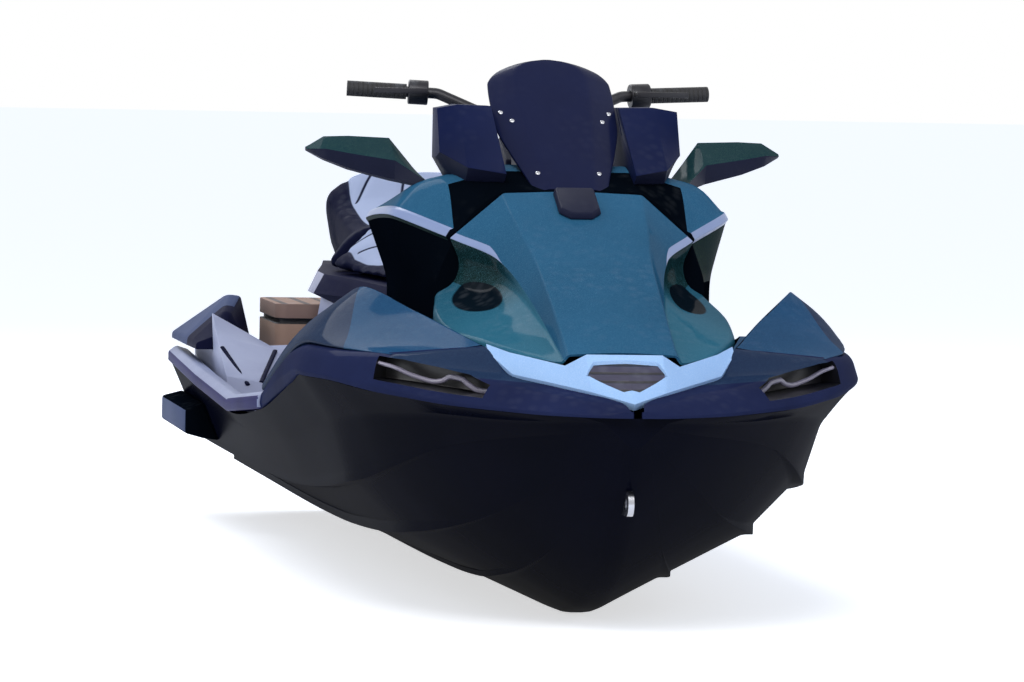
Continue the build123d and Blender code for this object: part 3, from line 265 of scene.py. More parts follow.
# %% Seat vinyl: pebbled cells with soft creases between them
leather, given, out = new_group("vinyl pebbles", [("Scale", FLOAT, 520.0), ("Depth", FLOAT, 0.0004)],
                                [("Normal", VECTOR), ("Mask", FLOAT)])
pebbles = textured(leather, "Voronoi", {"Scale": given["Scale"]}, feature="DISTANCE_TO_EDGE")
crease = between(leather, pebbles["Distance"], 0.0, 0.16, interpolation_type="SMOOTHSTEP")
lump = node(leather, "ShaderNodeBump", {"Strength": 0.5, "Distance": given["Depth"], "Height": crease})
join(leather, out, Normal=lump.outputs["Normal"], Mask=crease)

# %% Ribs along one axis, for mats and grips
ribs, given, out = new_group("moulded ribs", [("Direction", VECTOR, (1, 0, 0)), ("Spacing", FLOAT, 0.012),
                                              ("Depth", FLOAT, 0.001)], [("Normal", VECTOR), ("Mask", FLOAT)])
spot = node(ribs, "ShaderNodeTexCoord")
reach = node(ribs, "ShaderNodeVectorMath", {0: spot.outputs["Object"], 1: given["Direction"]},
             operation="DOT_PRODUCT")
wave = worked(ribs, "PINGPONG", worked(ribs, "DIVIDE", reach.outputs["Value"], given["Spacing"]), 1.0)
crest = between(ribs, wave, 0.18, 0.38, interpolation_type="SMOOTHSTEP")
lump = node(ribs, "ShaderNodeBump", {"Strength": 0.9, "Distance": given["Depth"], "Height": crest})
join(ribs, out, Normal=lump.outputs["Normal"], Mask=crest)
print("shared groups", [g.name for g in bpy.data.node_groups])


# %% [markdown]
# ## Finishes
# A craft like this is gel coat, sprayed paint, moulded plastic, rubber, vinyl and metal, which differ in
# colour, roughness and grain. Each finish is one Principled shader. What changes over the surface comes
# from the groups, and what is the same all over is set on the shader itself.

# %% How a finish is made
def place_group(tree, group, **values):
    """Puts a shared group into a material and sets its inputs."""
    return node(tree, "ShaderNodeGroup", spaced(values), node_tree=group).outputs


def new_finish(name, **constants):
    """Material with one Principled shader, its constants set on its own sockets."""
    material = bpy.data.materials.new(name)
    tree = empty_tree(material)
    shader = node(tree, "ShaderNodeBsdfPrincipled", spaced(constants))
    node(tree, "ShaderNodeOutputMaterial", {"Surface": shader.outputs[0]})
    return material, tree, shader


def covered(tree, shader, colour, spray, roughness, **sockets):
    """Lays dried spray over a colour and joins the result, and any other sockets, to the shader."""
    over = place_group(tree, film, Colour=colour, Amount=spray, Roughness=roughness)
    join(tree, shader, Base_Color=over["Colour"], Roughness=over["Roughness"], **sockets)


def moulding(name, colour, second, roughness, grain_scale, grain_depth, spray=0.12, shine=0.5, **constants):
    """Moulded plastic or gel coat: slow mottle, fine grain and dried spray."""
    material, tree, shader = new_finish(name, Specular_IOR_Level=shine, **constants)
    worn = place_group(tree, mottle, Colour=tone(*colour), Second_colour=tone(*second), Scale=4.0)
    bumps = place_group(tree, grain, Scale=grain_scale, Depth=grain_depth)
    covered(tree, shader, worn["Colour"], spray, roughness, Normal=bumps["Normal"])
    return material


# %% Painted body panels
LACQUER = {"Specular_IOR_Level": 0.0, "Coat_Weight": 0.07, "Coat_Roughness": 0.08}
FLAKE_SCALE, PAINT_ROUGHNESS = 1500.0, 0.42


def body_paint(name, colour, shade, flake):
    """Metallic paint: flakes under clear lacquer, darker where the mottle says."""
    material, tree, shader = new_finish(name, **LACQUER)
    worn = place_group(tree, mottle, Colour=tone(*colour), Second_colour=tone(*shade), Scale=1.6)
    glitter = place_group(tree, flakes, Colour=worn["Colour"], Flake_colour=tone(*flake), Scale=FLAKE_SCALE)
    covered(tree, shader, glitter["Colour"], 0.025, PAINT_ROUGHNESS)
    return material


TEAL = body_paint("teal paint", (39, 86, 116), (31, 73, 100), (80, 134, 162))
# The fenders' paint is the hood's teal made darker: a painted shade.
FENDER_SHADED_TEAL = body_paint("teal paint darkened as painted shade", (32, 72, 107), (26, 61, 92), (68, 118, 152))
# Deep green is painted shade, for the underside of the cowl's ledge.
LEDGE_SHADE_GREEN = body_paint("deep green painted shade", (15, 36, 40), (11, 28, 31), (60, 84, 50))
GREEN = body_paint("green mirror paint", (26, 55, 62), (22, 46, 50), (72, 104, 88))
SLATE_TEAL = body_paint("slate blue paint", (34, 50, 76), (29, 42, 66), (62, 88, 114))
PALE = body_paint("pale silver paint", (156, 190, 230), (146, 180, 222), (205, 226, 248))


# %% The hood's paint: deep green painted shade in the scoop, teal towards the nose, and an oval of painted shade for an air inlet
INLET_X, INLET_LEVEL, INLET_SLOPE = 1.105, 0.858, 0.17      # its centre in metres, and how it slopes
INLET_LONG, INLET_TALL = 0.105, 0.023                       # half its length and height
FADE_START, FADE_END = 1.08, 1.28                           # x where the green starts to fade and has gone


def hood_paint(name, deep, teal):
    """Paint that goes from deep to teal towards the nose, and near black in an oval that follows the shelf,
    painted as the shade inside an air inlet.
    """
    material, tree, shader = new_finish(name, **LACQUER)
    spot = node(tree, "ShaderNodeTexCoord")
    place = node(tree, "ShaderNodeSeparateXYZ", {0: spot.outputs["Object"]}).outputs
    fade = between(tree, place["X"], FADE_START, FADE_END, interpolation_type="SMOOTHSTEP")
    glitter = place_group(tree, flakes, Colour=blend(tree, fade, tone(*deep), tone(*teal)),
                          Flake_colour=tone(84, 142, 160), Scale=FLAKE_SCALE)
    level = worked(tree, "MULTIPLY_ADD", place["X"], INLET_SLOPE, place["Z"])
    up = worked(tree, "DIVIDE", worked(tree, "SUBTRACT", level, INLET_LEVEL), INLET_TALL)
    ahead = worked(tree, "DIVIDE", worked(tree, "SUBTRACT", place["X"], INLET_X), INLET_LONG)
    both = node(tree, "ShaderNodeCombineXYZ", {0: up, 1: ahead})
    far = node(tree, "ShaderNodeVectorMath", {0: both.outputs[0]}, operation="LENGTH")
    # The oval is painted near black as the shade inside an air inlet.
    inlet = between(tree, far.outputs["Value"], 0.94, 1.0)
    covered(tree, shader, blend(tree, inlet, tone(10, 20, 28), glitter["Colour"]), 0.05, PAINT_ROUGHNESS)
    return material


# In the scoop the deep green is painted shade under the lip.
SCOOP_SHADE_PAINT = hood_paint("scoop paint with painted shade", (14, 38, 36), (40, 92, 112))
SHELF = hood_paint("hood shelf paint", (36, 84, 104), (40, 92, 112))

# %% Plastics and gel coat
SLATE = moulding("slate bumper plastic", (33, 40, 72), (28, 34, 62), 0.42, 1100.0, 0.00015, 0.03, shine=0.0,
                 Coat_Weight=0.03)
HULL = moulding("black gel coat", (5, 7, 18), (7, 9, 22), 0.3, 60.0, 0.0001, 0.02, shine=0.0,
                Coat_Weight=0.05, Coat_Roughness=0.15)
DECK = moulding("light grey gel coat", (166, 171, 194), (152, 157, 182), 0.45, 420.0, 0.0004, shine=0.05)
GUNWALE = moulding("light grey rail", (140, 147, 174), (128, 134, 162), 0.4, 420.0, 0.0003, shine=0.04)
# The pale lip is a painted highlight, a light band where the ledge's sharp edge catches the sky.
LIP_HIGHLIGHT = moulding("pale lip painted highlight", (130, 146, 184), (120, 136, 174), 0.35, 420.0, 0.0002)
# Black for inner plastic, used also as painted shade on the sponsons' fronts and on the cowl between the pods
# and the hood.
BLACK_AND_SHADE = moulding("black plastic and painted shade", (6, 11, 19), (5, 9, 15), 0.5, 900.0, 0.0002, 0.02, shine=0.0)
NAVY = moulding("dark navy plastic", (20, 22, 44), (24, 26, 50), 0.5, 500.0, 0.0002, 0.02, shine=0.01)
# Dark violet is painted shade on the rail's outer and under faces.
RAIL_SIDE_SHADE = moulding("dark violet painted shade on rail side", (44, 44, 92), (36, 36, 78), 0.45, 500.0, 0.0002, 0.02, shine=0.01)
POD_BLUE = moulding("navy pod plastic", (22, 30, 64), (19, 26, 56), 0.42, 900.0, 0.0002, 0.02, shine=0.02)
ARCH_GREY = moulding("mid grey moulding", (72, 82, 112), (64, 74, 102), 0.5, 420.0, 0.0004, 0.05, shine=0.01)
COCKPIT = moulding("dark cockpit plastic", (25, 29, 50), (21, 24, 43), 0.48, 900.0, 0.00025, 0.03, shine=0.07)
VISOR = moulding("smoked visor", (23, 29, 60), (20, 25, 53), 0.3, 300.0, 0.00005, 0.01, shine=0.02,
                 Coat_Weight=0.06, Coat_Roughness=0.1)
RUBBER = moulding("black rubber", (22, 22, 26), (30, 30, 35), 0.7, 1200.0, 0.0004, 0.2)
TAN_FACE = moulding("tan pad face", (150, 122, 104), (134, 108, 92), 0.8, 500.0, 0.0006, 0.1)
SEAT_GREY = moulding("seat base plastic", (140, 143, 168), (126, 130, 155), 0.5, 500.0, 0.0003)
TAN_BASE = moulding("tan foam", (128, 104, 94), (112, 90, 82), 0.8, 500.0, 0.0006, 0.2)

# %% Metals and glass
STEEL = moulding("stainless steel", (190, 192, 198), (170, 172, 180), 0.24, 400.0, 0.00008, 0.1, Metallic=1.0)
ALLOY = moulding("pump alloy", (146, 148, 154), (126, 128, 136), 0.42, 300.0, 0.0004, 0.2, Metallic=1.0)
IRON = moulding("engine iron", (70, 70, 74), (55, 54, 56), 0.6, 160.0, 0.0008, 0.1, Metallic=0.8)
BLACK_STEEL = moulding("black steel", (26, 26, 32), (34, 34, 42), 0.4, 600.0, 0.0002, 0.1, Metallic=0.4)
MIRROR_FACE = moulding("mirror face", (225, 228, 232), (218, 221, 226), 0.04, 200.0, 0.00001, 0.04,
                       Metallic=1.0)
SCREEN = moulding("display glass", (12, 14, 20), (15, 18, 26), 0.08, 200.0, 0.00001, 0.05, Coat_Weight=1.0)
LAMP_BLACK = moulding("lamp housing", (12, 12, 18), (18, 18, 26), 0.3, 500.0, 0.0001, 0.05)
LAMP_TUBE = moulding("lamp light guide", (142, 136, 152), (128, 122, 140), 0.18, 300.0, 0.00005, 0.05,
                     Coat_Weight=0.6)
print("finishes", len(bpy.data.materials))


# %% Two-tone seat vinyl
def vinyl(name, dark, light, thread):
    """Vinyl that is light where the piece's attribute "insert" is positive and dark elsewhere, with a darker
    line where its attribute "stitch", the distance to the nearest seam, is small."""
    material, tree, shader = new_finish(name, Specular_IOR_Level=0.01)
    insert = node(tree, "ShaderNodeAttribute", attribute_name="insert")
    stitch = node(tree, "ShaderNodeAttribute", attribute_name="stitch")
    tones = blend(tree, between(tree, insert.outputs["Fac"], -0.001, 0.001), tone(*dark), tone(*light))
    sewn = blend(tree, between(tree, stitch.outputs["Fac"], 0.002, 0.0045), tone(*thread), tones)
    bumps = place_group(tree, leather, Scale=520.0, Depth=0.0004)
    covered(tree, shader, sewn, 0.06, 0.55, Normal=bumps["Normal"])
    return material


VINYL = vinyl("two-tone seat vinyl", (17, 20, 42), (162, 172, 198), (26, 29, 50))


# %% Mats with ribs
def ribbed(name, colour, groove, direction, spacing, depth, roughness=0.8):
    """Foam mat: ribs across a direction, the grooves in a second colour."""
    material, tree, shader = new_finish(name)
    lines = place_group(tree, ribs, Direction=direction, Spacing=spacing, Depth=depth)
    tones = blend(tree, lines["Mask"], tone(*groove), tone(*colour))
    covered(tree, shader, tones, 0.25, roughness, Normal=lines["Normal"])
    return material


MAT_GREY = ribbed("grey footwell mat", (92, 96, 112), (58, 60, 74), (1, 0, 0), 0.016, 0.0015)
MAT_TAN = ribbed("tan deck mat", (132, 104, 88), (60, 48, 46), (0, 1, 0), 0.028, 0.0015)
GRIP = ribbed("ribbed grip rubber", (26, 26, 30), (12, 12, 14), (0, 1, 0), 0.005, 0.0008, 0.7)
VENT_MESH = ribbed("vent slats", (44, 42, 66), (14, 13, 24), (0, 0, 1), 0.008, 0.002, 0.4)

# %% [markdown]
# ## Surfaces from tables of sections
# A moulding is drawn as a row of sections, each with the same corners in the same order, in millimetres.
# Between sections every corner follows a smooth cubic, and in a section every corner is rounded by its
# own radius. The result is a grid of points, worked out as whole arrays, which becomes one mesh. A cage
# under a Subdivision modifier would flow as well, but here each crease stays where it was measured.

# %% The cubic between sections
def steady(x, values, where):
    """Cubic through each column of values, never overshooting: the slope at a row is the harmonic mean of
    the slopes on its two sides, or level where they differ in sign."""
    x, values, where = np.asarray(x, float), np.asarray(values, float), np.asarray(where, float)
    step = np.diff(x)[:, None]
    slope = np.diff(values, axis=0) / step
    before, after = slope[:-1], slope[1:]
    heavy_before, heavy_after = step[:-1] + 2 * step[1:], 2 * step[:-1] + step[1:]
    with np.errstate(divide="ignore", invalid="ignore"):
        mean = (heavy_before + heavy_after) / (heavy_before / before + heavy_after / after)
    inner = np.where(before * after > 0, mean, 0.0)
    tangent = np.vstack([slope[:1], inner, slope[-1:]])
    row = np.clip(np.searchsorted(x, where, side="right") - 1, 0, len(x) - 2)
    h = step[row]
    t = ((where - x[row])[:, None] / h)
    low, high = values[row], values[row + 1]
    return ((2 * t**3 - 3 * t**2 + 1) * low + (t**3 - 2 * t**2 + t) * h * tangent[row]
            + (3 * t**2 - 2 * t**3) * high + (t**3 - t**2) * h * tangent[row + 1])


def along(table, count, start=None, end=None):
    """Rows of a table (first column x) at evenly spaced x and at the table's own x."""
    table = np.array(sorted(table), float)
    start = table[0, 0] if start is None else start
    end = table[-1, 0] if end is None else end
    own = table[(table[:, 0] > start) & (table[:, 0] < end), 0]
    x = np.unique(np.concatenate([np.linspace(start, end, count), own]))
    return np.hstack([x[:, None], steady(table[:, 0], table[:, 1:], x)])


# %% Rounding the corners of every section at once
def rounded(lines, radii, steps=4, closed=False):
    """Lines of corners (sections, corners, 3) with each corner cut back along both its sides by its radius,
    at most 0.45 of the side, and bridged by the quadratic curve that has the corner as its middle point."""
    lines = np.asarray(lines, float)
    radii = np.broadcast_to(np.asarray(radii, float), lines.shape[1:2])
    before, after = np.roll(lines, 1, axis=1), np.roll(lines, -1, axis=1)
    to_before, to_after = before - lines, after - lines
    far_before = np.linalg.norm(to_before, axis=2, keepdims=True) + 1e-9
    far_after = np.linalg.norm(to_after, axis=2, keepdims=True) + 1e-9
    cut = np.minimum(radii[None, :, None], 0.45 * np.minimum(far_before, far_after))
    if not closed:
        cut[:, 0] = cut[:, -1] = 0.0
    first, last = lines + to_before / far_before * cut, lines + to_after / far_after * cut
    t = np.linspace(0, 1, steps)[None, None, :, None]
    curve = ((1 - t) ** 2 * first[:, :, None] + 2 * t * (1 - t) * lines[:, :, None] + t**2 * last[:, :, None])
    points = curve.reshape(len(lines), -1, 3)
    if not closed:
        points = np.concatenate([lines[:, :1], points[:, steps:-steps], lines[:, -1:]], axis=1)
    return points


# %% Sections, and their mirror image
def sections(x, corners):
    """Sections on planes across the craft: at each x, one corner from each pair of y and z."""
    return np.stack([np.stack([x, 0 * x + y, 0 * x + z], axis=-1) for y, z in corners], axis=1)


def mirrored(points):
    """The same points on the other side of the craft, in the opposite order across."""
    return points[:, ::-1] * np.array([1, -1, 1])


def both_sides(half, radii, steps):
    """Closed, rounded sections from a port half and its mirror image."""
    return rounded(np.concatenate([half, mirrored(half)], axis=1), radii + radii[::-1], steps, closed=True)


# %% Faces of a grid, and their finishes
def grid_faces(rows, columns, closed, offset):
    """Quads between neighbouring rows and columns of a grid, and round it if it is closed."""
    wide = columns if closed else columns - 1
    r, c = np.meshgrid(np.arange(rows - 1), np.arange(wide), indexing="ij")
    d = (c + 1) % columns
    here, ahead = r * columns, (r + 1) * columns
    return np.stack([here + c, ahead + c, ahead + d, here + d], axis=-1).reshape(-1, 4) + offset


def striped(numbers, steps, closed=True):
    """Finish number of each column of faces, from the numbers of the flats between corners: a rounding takes
    its first half from the flat before it and the rest from the flat after."""
    flats = np.asarray(numbers)
    block = np.repeat(flats[:, None], steps, axis=1)
    block[:, :(steps - 1) // 2] = np.roll(flats, 1)[:, None]
    return block.ravel() if closed else np.concatenate([flats[:1], block[1:].ravel()])


# %% Reading and editing a mesh
def edited(mesh, change, target=None):
    """Opens a mesh for editing, lets change work on it, and writes it back, or into a target."""
    shape = bmesh.new()
    shape.from_mesh(mesh)
    change(shape)
    shape.to_mesh(target or mesh)
    shape.free()


def vectors(items, label):
    """One vector of each item as an array: a point's place or a face's normal."""
    flat = np.empty(len(items) * 3)
    items.foreach_get(label, flat)
    return flat.reshape(-1, 3)


# %% Shading, and paint on chosen faces
def settle(mesh, crease):
    """Smooth shading, with edges sharper than crease degrees left crisp."""
    mesh.shade_smooth()
    mesh.set_sharp_from_angle(angle=np.radians(crease))
    mesh.update()


def paint_faces(mesh, bands, number=1):
    """Gives a finish number to the faces where bands holds for their centres and normals."""
    index = np.empty(len(mesh.polygons), int)
    mesh.polygons.foreach_get("material_index", index)
    index[bands(vectors(mesh.polygons, "center"), vectors(mesh.polygons, "normal"))] = number
    mesh.polygons.foreach_set("material_index", index)


def scored(mesh, *planes):
    """Splits the faces along planes, each a point in metres and a normal, so that paint can end there."""
    def split(shape):
        for place, normal in planes:
            bmesh.ops.bisect_plane(shape, geom=list(shape.verts) + list(shape.edges) + list(shape.faces),
                                   plane_co=place, plane_no=normal)

    edited(mesh, split)
    mesh.update()


# %% One mesh from grids
def moulded(name, grids, finish, closed=True, crease=32, finishes=(), stripes=None):
    """One mesh from grids in millimetres; closed ones get end caps and their faces are turned outwards.
    stripes gives each column of faces its finish number. Edges sharper than crease degrees stay crisp."""
    verts, faces, numbers, start = [], [], [], 0
    for grid in grids:
        rows, columns = grid.shape[:2]
        verts.append(grid.reshape(-1, 3) / 1000)
        faces += grid_faces(rows, columns, closed, start).tolist()
        wide = columns if closed else columns - 1
        numbers.append(np.tile(np.zeros(wide, int) if stripes is None else stripes, rows - 1))
        if closed:
            faces += [list(range(start, start + columns)),
                      list(range(start + (rows - 1) * columns, start + rows * columns))]
            numbers.append(np.zeros(2, int))
        start += rows * columns
    mesh = bpy.data.meshes.new(name)
    mesh.from_pydata(np.concatenate(verts).tolist(), [], faces)
    mesh.polygons.foreach_set("material_index", np.concatenate(numbers))

    def cleaned(shape):
        bmesh.ops.remove_doubles(shape, verts=shape.verts, dist=1e-5)
        bmesh.ops.dissolve_degenerate(shape, dist=1e-6, edges=shape.edges)
        if closed:
            bmesh.ops.recalc_face_normals(shape, faces=shape.faces)

    edited(mesh, cleaned)
    for material in (finish, *finishes):
        mesh.materials.append(material)
    settle(mesh, crease)
    return put(name, mesh)


# %% Fitting a piece to the measured model
def fit(piece, body, slot, *stands_for):
    """The piece rides on a body and may stand for measured pieces. slot is not used."""
    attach(piece, body)
    if stands_for:
        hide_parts(*stands_for)
    print(piece.name, len(piece.data.vertices), "points")


# %% Modifiers and cutters
def baked(piece):
    """Puts the result of the piece's modifiers into its mesh."""
    bpy.context.view_layer.update()
    made = bpy.data.meshes.new_from_object(piece.evaluated_get(bpy.context.evaluated_depsgraph_get()))
    piece.modifiers.clear()
    piece.data = made


def cut_away(piece, *cutters):
    """Takes closed cutters out of a closed piece, one exact Boolean each, and removes the cutters."""
    for cutter in cutters:
        step = piece.modifiers.new("cut", "BOOLEAN")
        step.operation, step.object, step.solver = "DIFFERENCE", cutter, "EXACT"
        step.material_mode = "TRANSFER"
        baked(piece)
        bpy.data.objects.remove(cutter)


def prism(name, corners, low, high, finish, axis=2):
    """Closed straight prism in millimetres: corners in the plane across an axis, from low to high on it."""
    corners = np.asarray(corners, float)
    others = [k for k in range(3) if k != axis]
    grid = np.zeros((2, len(corners), 3))
    grid[:, :, others] = corners
    grid[0, :, axis], grid[1, :, axis] = low, high
    return moulded(name, [grid], finish)


def box_prism(name, x, y, z, finish):
    """Closed box between limits in millimetres."""
    return prism(name, [(x[0], y[0]), (x[1], y[0]), (x[1], y[1]), (x[0], y[1])], z[0], z[1], finish)


# %% [markdown]
# ## Working parts keep their measured shape
# Cast and cut parts such as the pump, the plates and the eyes are flat-faced in life as well. Their own
# mesh stays where nothing sharp shows. Where a moulded edge would catch the light, a copy is merged into
# whole faces and its edges get a small bevel.

# %% Softened copies
def softened(name, width, body, slot, *painted):
    """Copy of a measured piece: loose triangles merged, flat faces made whole, edges bevelled by width mm.
    Each of painted is a finish and where it goes."""
    def merged(shape):
        bmesh.ops.remove_doubles(shape, verts=shape.verts, dist=2e-5)
        bmesh.ops.dissolve_limit(shape, angle_limit=np.radians(0.6), verts=shape.verts, edges=shape.edges)

    mesh = bpy.data.meshes.new(name + "_soft")
    edited(nodes[name].data, merged, mesh)
    piece = put(name + "_soft", mesh)
    mesh.materials.clear()
    for material in (KEPT[name], *[finish for finish, where in painted]):
        mesh.materials.append(material)
    bevel = piece.modifiers.new("edge", "BEVEL")
    bevel.width, bevel.segments, bevel.limit_method = width / 1000, 3, "ANGLE"
    bevel.angle_limit, bevel.harden_normals, bevel.use_clamp_overlap = np.radians(25), False, True
    baked(piece)
    settle(piece.data, 35)
    for number, (finish, where) in enumerate(painted, 1):
        paint_faces(piece.data, where, number)
    fit(piece, body, slot, name)


# %% Finishes of the measured pieces
KEPT = {name: finish for finish, names in (
    (STEEL, "bow_eye stern_eyes grab_rail impeller drive_shaft"),
    (ALLOY, "pump_housing reduction_nozzle steering_nozzle intake_grate ride_plate"),
    (BLACK_STEEL, "hood_brackets handlebar switch_pods levers"),
    (COCKPIT, "console dash glove_box glove_lid hood_latch reverse_bucket"),
    (TEAL, "fenders hood upper_cowl"), (GREEN, "mirrors"), (PALE, "nose_trim"), (POD_BLUE, "front_pods"),
    (DECK, "deck swim_platform footwell_ramps"), (GUNWALE, "gunwales"), (ARCH_GREY, "rear_arches"),
    (HULL, "hull"), (SLATE, "bow_bumper"), (BLACK_AND_SHADE, "sponsons"), (LAMP_BLACK, "headlamps"), (VISOR, "visor"),
    (SEAT_GREY, "front_seat rear_seat seat_base"), (TAN_BASE, "rear_pad"), (MAT_GREY, "footwell_mats"),
    (RUBBER, "storage_bin"), (IRON, "engine_block"), (GRIP, "grips"), (VENT_MESH, "nose_vent"),
    (MIRROR_FACE, "mirror_glass"), (SCREEN, "display"),
) for name in names.split()}
for name, material in KEPT.items():
    data = nodes[name].data
    data.materials.clear()
    data.materials.append(material)
print("measured pieces with a finish", len(KEPT), "of", len(nodes))


# %% Where second finishes go, from a face's centre c and normal n
def outward(c, n):
    """How far a normal points away from the craft's middle plane."""
    return n[:, 1] * np.sign(c[:, 1])


SOFTENED = [
    ("seat_base", 14, "craft", "seat_base_grey",
     (NAVY, lambda c, n: (n[:, 2] > 0.8) | (n[:, 2] < -0.15) | (n[:, 0] > 0.06))),
    ("console", 8, "craft", "cockpit_dark"),
    ("dash", 8, "craft", "cockpit_dark"),
    ("front_pods", 7, "craft", "cockpit_dark", (COCKPIT, lambda c, n: n[:, 2] < -0.2)),
    ("glove_box", 1.2, "craft", "bin_black"),
    ("glove_lid", 2, "glove_lid", "cockpit_dark"),
    ("hood_latch", 3, "hood", "cockpit_dark"),
    ("swim_platform", 8, "craft", "deck_grey", (MAT_GREY, lambda c, n: (n[:, 2] > 0.9) & (c[:, 2] > 0.36))),
    # The sponsons' fronts are black, partly painted shade; their outer faces are painted mid grey as painted
    # light from the sky.
    ("sponsons", 8, "craft", "sponson_black", (ARCH_GREY, lambda c, n: outward(c, n) > 0.9)),
    ("footwell_ramps", 6, "craft", "deck_grey"),
    ("switch_pods", 2.5, "steering", "cockpit_dark"),
    ("levers", 2.5, "steering", "bar_black"),
    ("nose_trim", 2.5, "craft", "trim_silver"),
    ("mirrors", 6, "craft", "body_teal", (COCKPIT, lambda c, n: n[:, 2] < 0.1)),
    ("rear_pad", 5, "craft", "mat_tan", (MAT_TAN, lambda c, n: (n[:, 2] > 0.9) & (c[:, 2] > 0.53)),
     (TAN_FACE, lambda c, n: c[:, 2] < 0.49), (RUBBER, lambda c, n: np.abs(c[:, 2] - 0.498) < 0.007)),
    # The rail's outer and under faces take a dark violet painted shade.
    ("gunwales", 6, "craft", "gunwale_grey",
     (RAIL_SIDE_SHADE, lambda c, n: (outward(c, n) > 0.72) | (n[:, 2] < -0.5))),
    ("reverse_bucket", 1.5, "bucket", "pump_alloy"),
    ("ride_plate", 2, "craft", "pump_alloy"),
]
for row in SOFTENED:
    softened(*row)

# %% [markdown]
# ## The hull
# A planing hull is a deep V with a flat keel pad, lifting strakes that shed spray, and a hard chine. The
# sections carry those as corners. The footwell, the pump tunnel and the water intake could be part of the
# sections too, but both forms stay simple when they are cut out of the closed hull with exact Booleans.
# The footwell's faces take the deck's finish from their cutter.

# %% Hull sections
# Columns: x, keel z, half width of the keel's flat, bottom knuckle y and z, chine y and z,
# side step y and z, rail y and z
HULL_ROWS = [
    (-1640, 0, 75, 380, 126, 500, 205, 535, 300, 567, 372),
    (-900, 0, 60, 380, 130, 505, 212, 545, 300, 584, 356),
    (-200, 0, 45, 380, 134, 508, 222, 550, 300, 588, 340),
    (400, 0, 35, 378, 142, 505, 240, 545, 320, 589.5, 385),
    (800, 0, 28, 375, 156, 498, 270, 532, 365, 589.5, 452),
    (1060, 4, 24, 360, 170, 490, 300, 521, 400, 588, 500),
    (1250, 28, 22, 318, 190, 446, 330, 487, 425, 558, 502),
    (1400, 75, 20, 262, 222, 385, 362, 428, 440, 505, 492),
    (1530, 145, 18, 200, 270, 305, 392, 348, 448, 432, 483),
    (1640, 235, 16, 135, 325, 212, 412, 250, 446, 337, 472),
    (1720, 325, 14, 75, 375, 125, 425, 155, 448, 229, 466),
    (1768, 400, 10, 30, 420, 50, 438, 62, 450, 105, 461),
]
STRAKE, CHINE_FLAT = 24.0, 28.0         # how wide their flats are
STRAKE_END, STRAKE_FADE = 1480, 300     # x where the strakes have gone, and over what length they fade
STRAKE_SHARE = 0.45                     # where the inner strake lies between the keel pad and the knuckle


# %% The hull's surface
def hull_grid(rows):
    """Sections from the keel pad to the rail. A strake steps out level by its width and then up to the
    bottom's own slope; it fades out towards the bow."""
    x, keel, pad, ky, kz, cy, cz, sy, sz, ry, rz = rows.T
    fade = np.clip((STRAKE_END - x) / STRAKE_FADE, 0.02, 1)
    rise = (kz - keel) / (ky - pad)
    lift = (cz - kz) / (cy - ky)
    ay = pad + STRAKE_SHARE * (ky - pad)
    az = keel + rise * (ay - pad)
    wide = STRAKE * fade
    flat_y = cy - CHINE_FLAT * fade
    flat_z = kz + lift * (flat_y - ky)
    corners = [(pad, keel), (ay, az), (ay + wide, az), (ay + wide + 0.5, az + rise * wide), (ky, kz),
               (ky + wide, kz), (ky + wide + 0.5, kz + lift * wide), (flat_y, flat_z), (cy, flat_z + 2),
               (cy + 1, cz), (sy, sz), (ry, rz)]
    return both_sides(sections(x, corners), [12, 8, 2, 2, 8, 2, 2, 8, 3, 6, 10, 3], steps=3)


hull = moulded("hull_moulding", [hull_grid(along(HULL_ROWS, 110))], HULL)

# %% What is cut out of the hull
FLOOR_Z, WALL, BATTER = 285.0, 45.0, 20.0
PAST_STERN, UNDER_KEEL = -1645, -5      # cutters reach a little past the hull


def tray_grid():
    """The footwell's space: the rail less the hull's wall, a little narrower at the floor."""
    x = np.array([PAST_STERN, -900.0, -200.0, 400.0, 640.0])
    rise = np.array([0, 0, 0, 0, 100.0])        # the floor slopes up to its front end
    table = np.array(HULL_ROWS)
    top = steady(table[:, 0], table[:, 9:10], np.clip(x, table[0, 0], table[-1, 0]))[:, 0] - WALL
    return both_sides(sections(x, [(top - BATTER, FLOOR_Z + rise), (top, FLOOR_Z + 400)]), [30, 1], steps=5)


tray = moulded("tray_cutter", [tray_grid()], DECK)
tunnel = box_prism("tunnel_cutter", (PAST_STERN, -1180), (-130, 130), (UNDER_KEEL, 300), HULL)
tunnel_back = box_prism("tunnel_back_cutter", (PAST_STERN, -1450), (-178, 178), (UNDER_KEEL, 300), HULL)
plate_seat = box_prism("plate_cutter", (PAST_STERN, -1150), (-150.3, 150.3), (UNDER_KEEL, 30.3), HULL)
INTAKE = [(-560, UNDER_KEEL), (-560, 20), (-730, 70), (-940, 215), (-1181, 252), (-1181, 88), (-1000, 30),
          (-1000, UNDER_KEEL)]          # its side view: x and z
intake = prism("intake_cutter", INTAKE, -85, 85, HULL, axis=1)
bin_space = box_prism("bin_cutter", (1004, 1436), (-196, 196), (389.7, 700), HULL)
cut_away(hull, tray, tunnel, tunnel_back, plate_seat, intake, bin_space)
settle(hull.data, 24)
fit(hull, "craft", "hull_black", "hull")

# %% [markdown]
# ## The bumper round the bow
# One grey moulding runs from the port side round the nose to starboard. Its sections follow the measured
# edge, band and inner lines. Sections across the craft would pinch at the nose, so the run is measured
# along the edge line, which turns the nose smoothly. The lamp slots are cut in, and their faces take the
# black of the lamp housing.

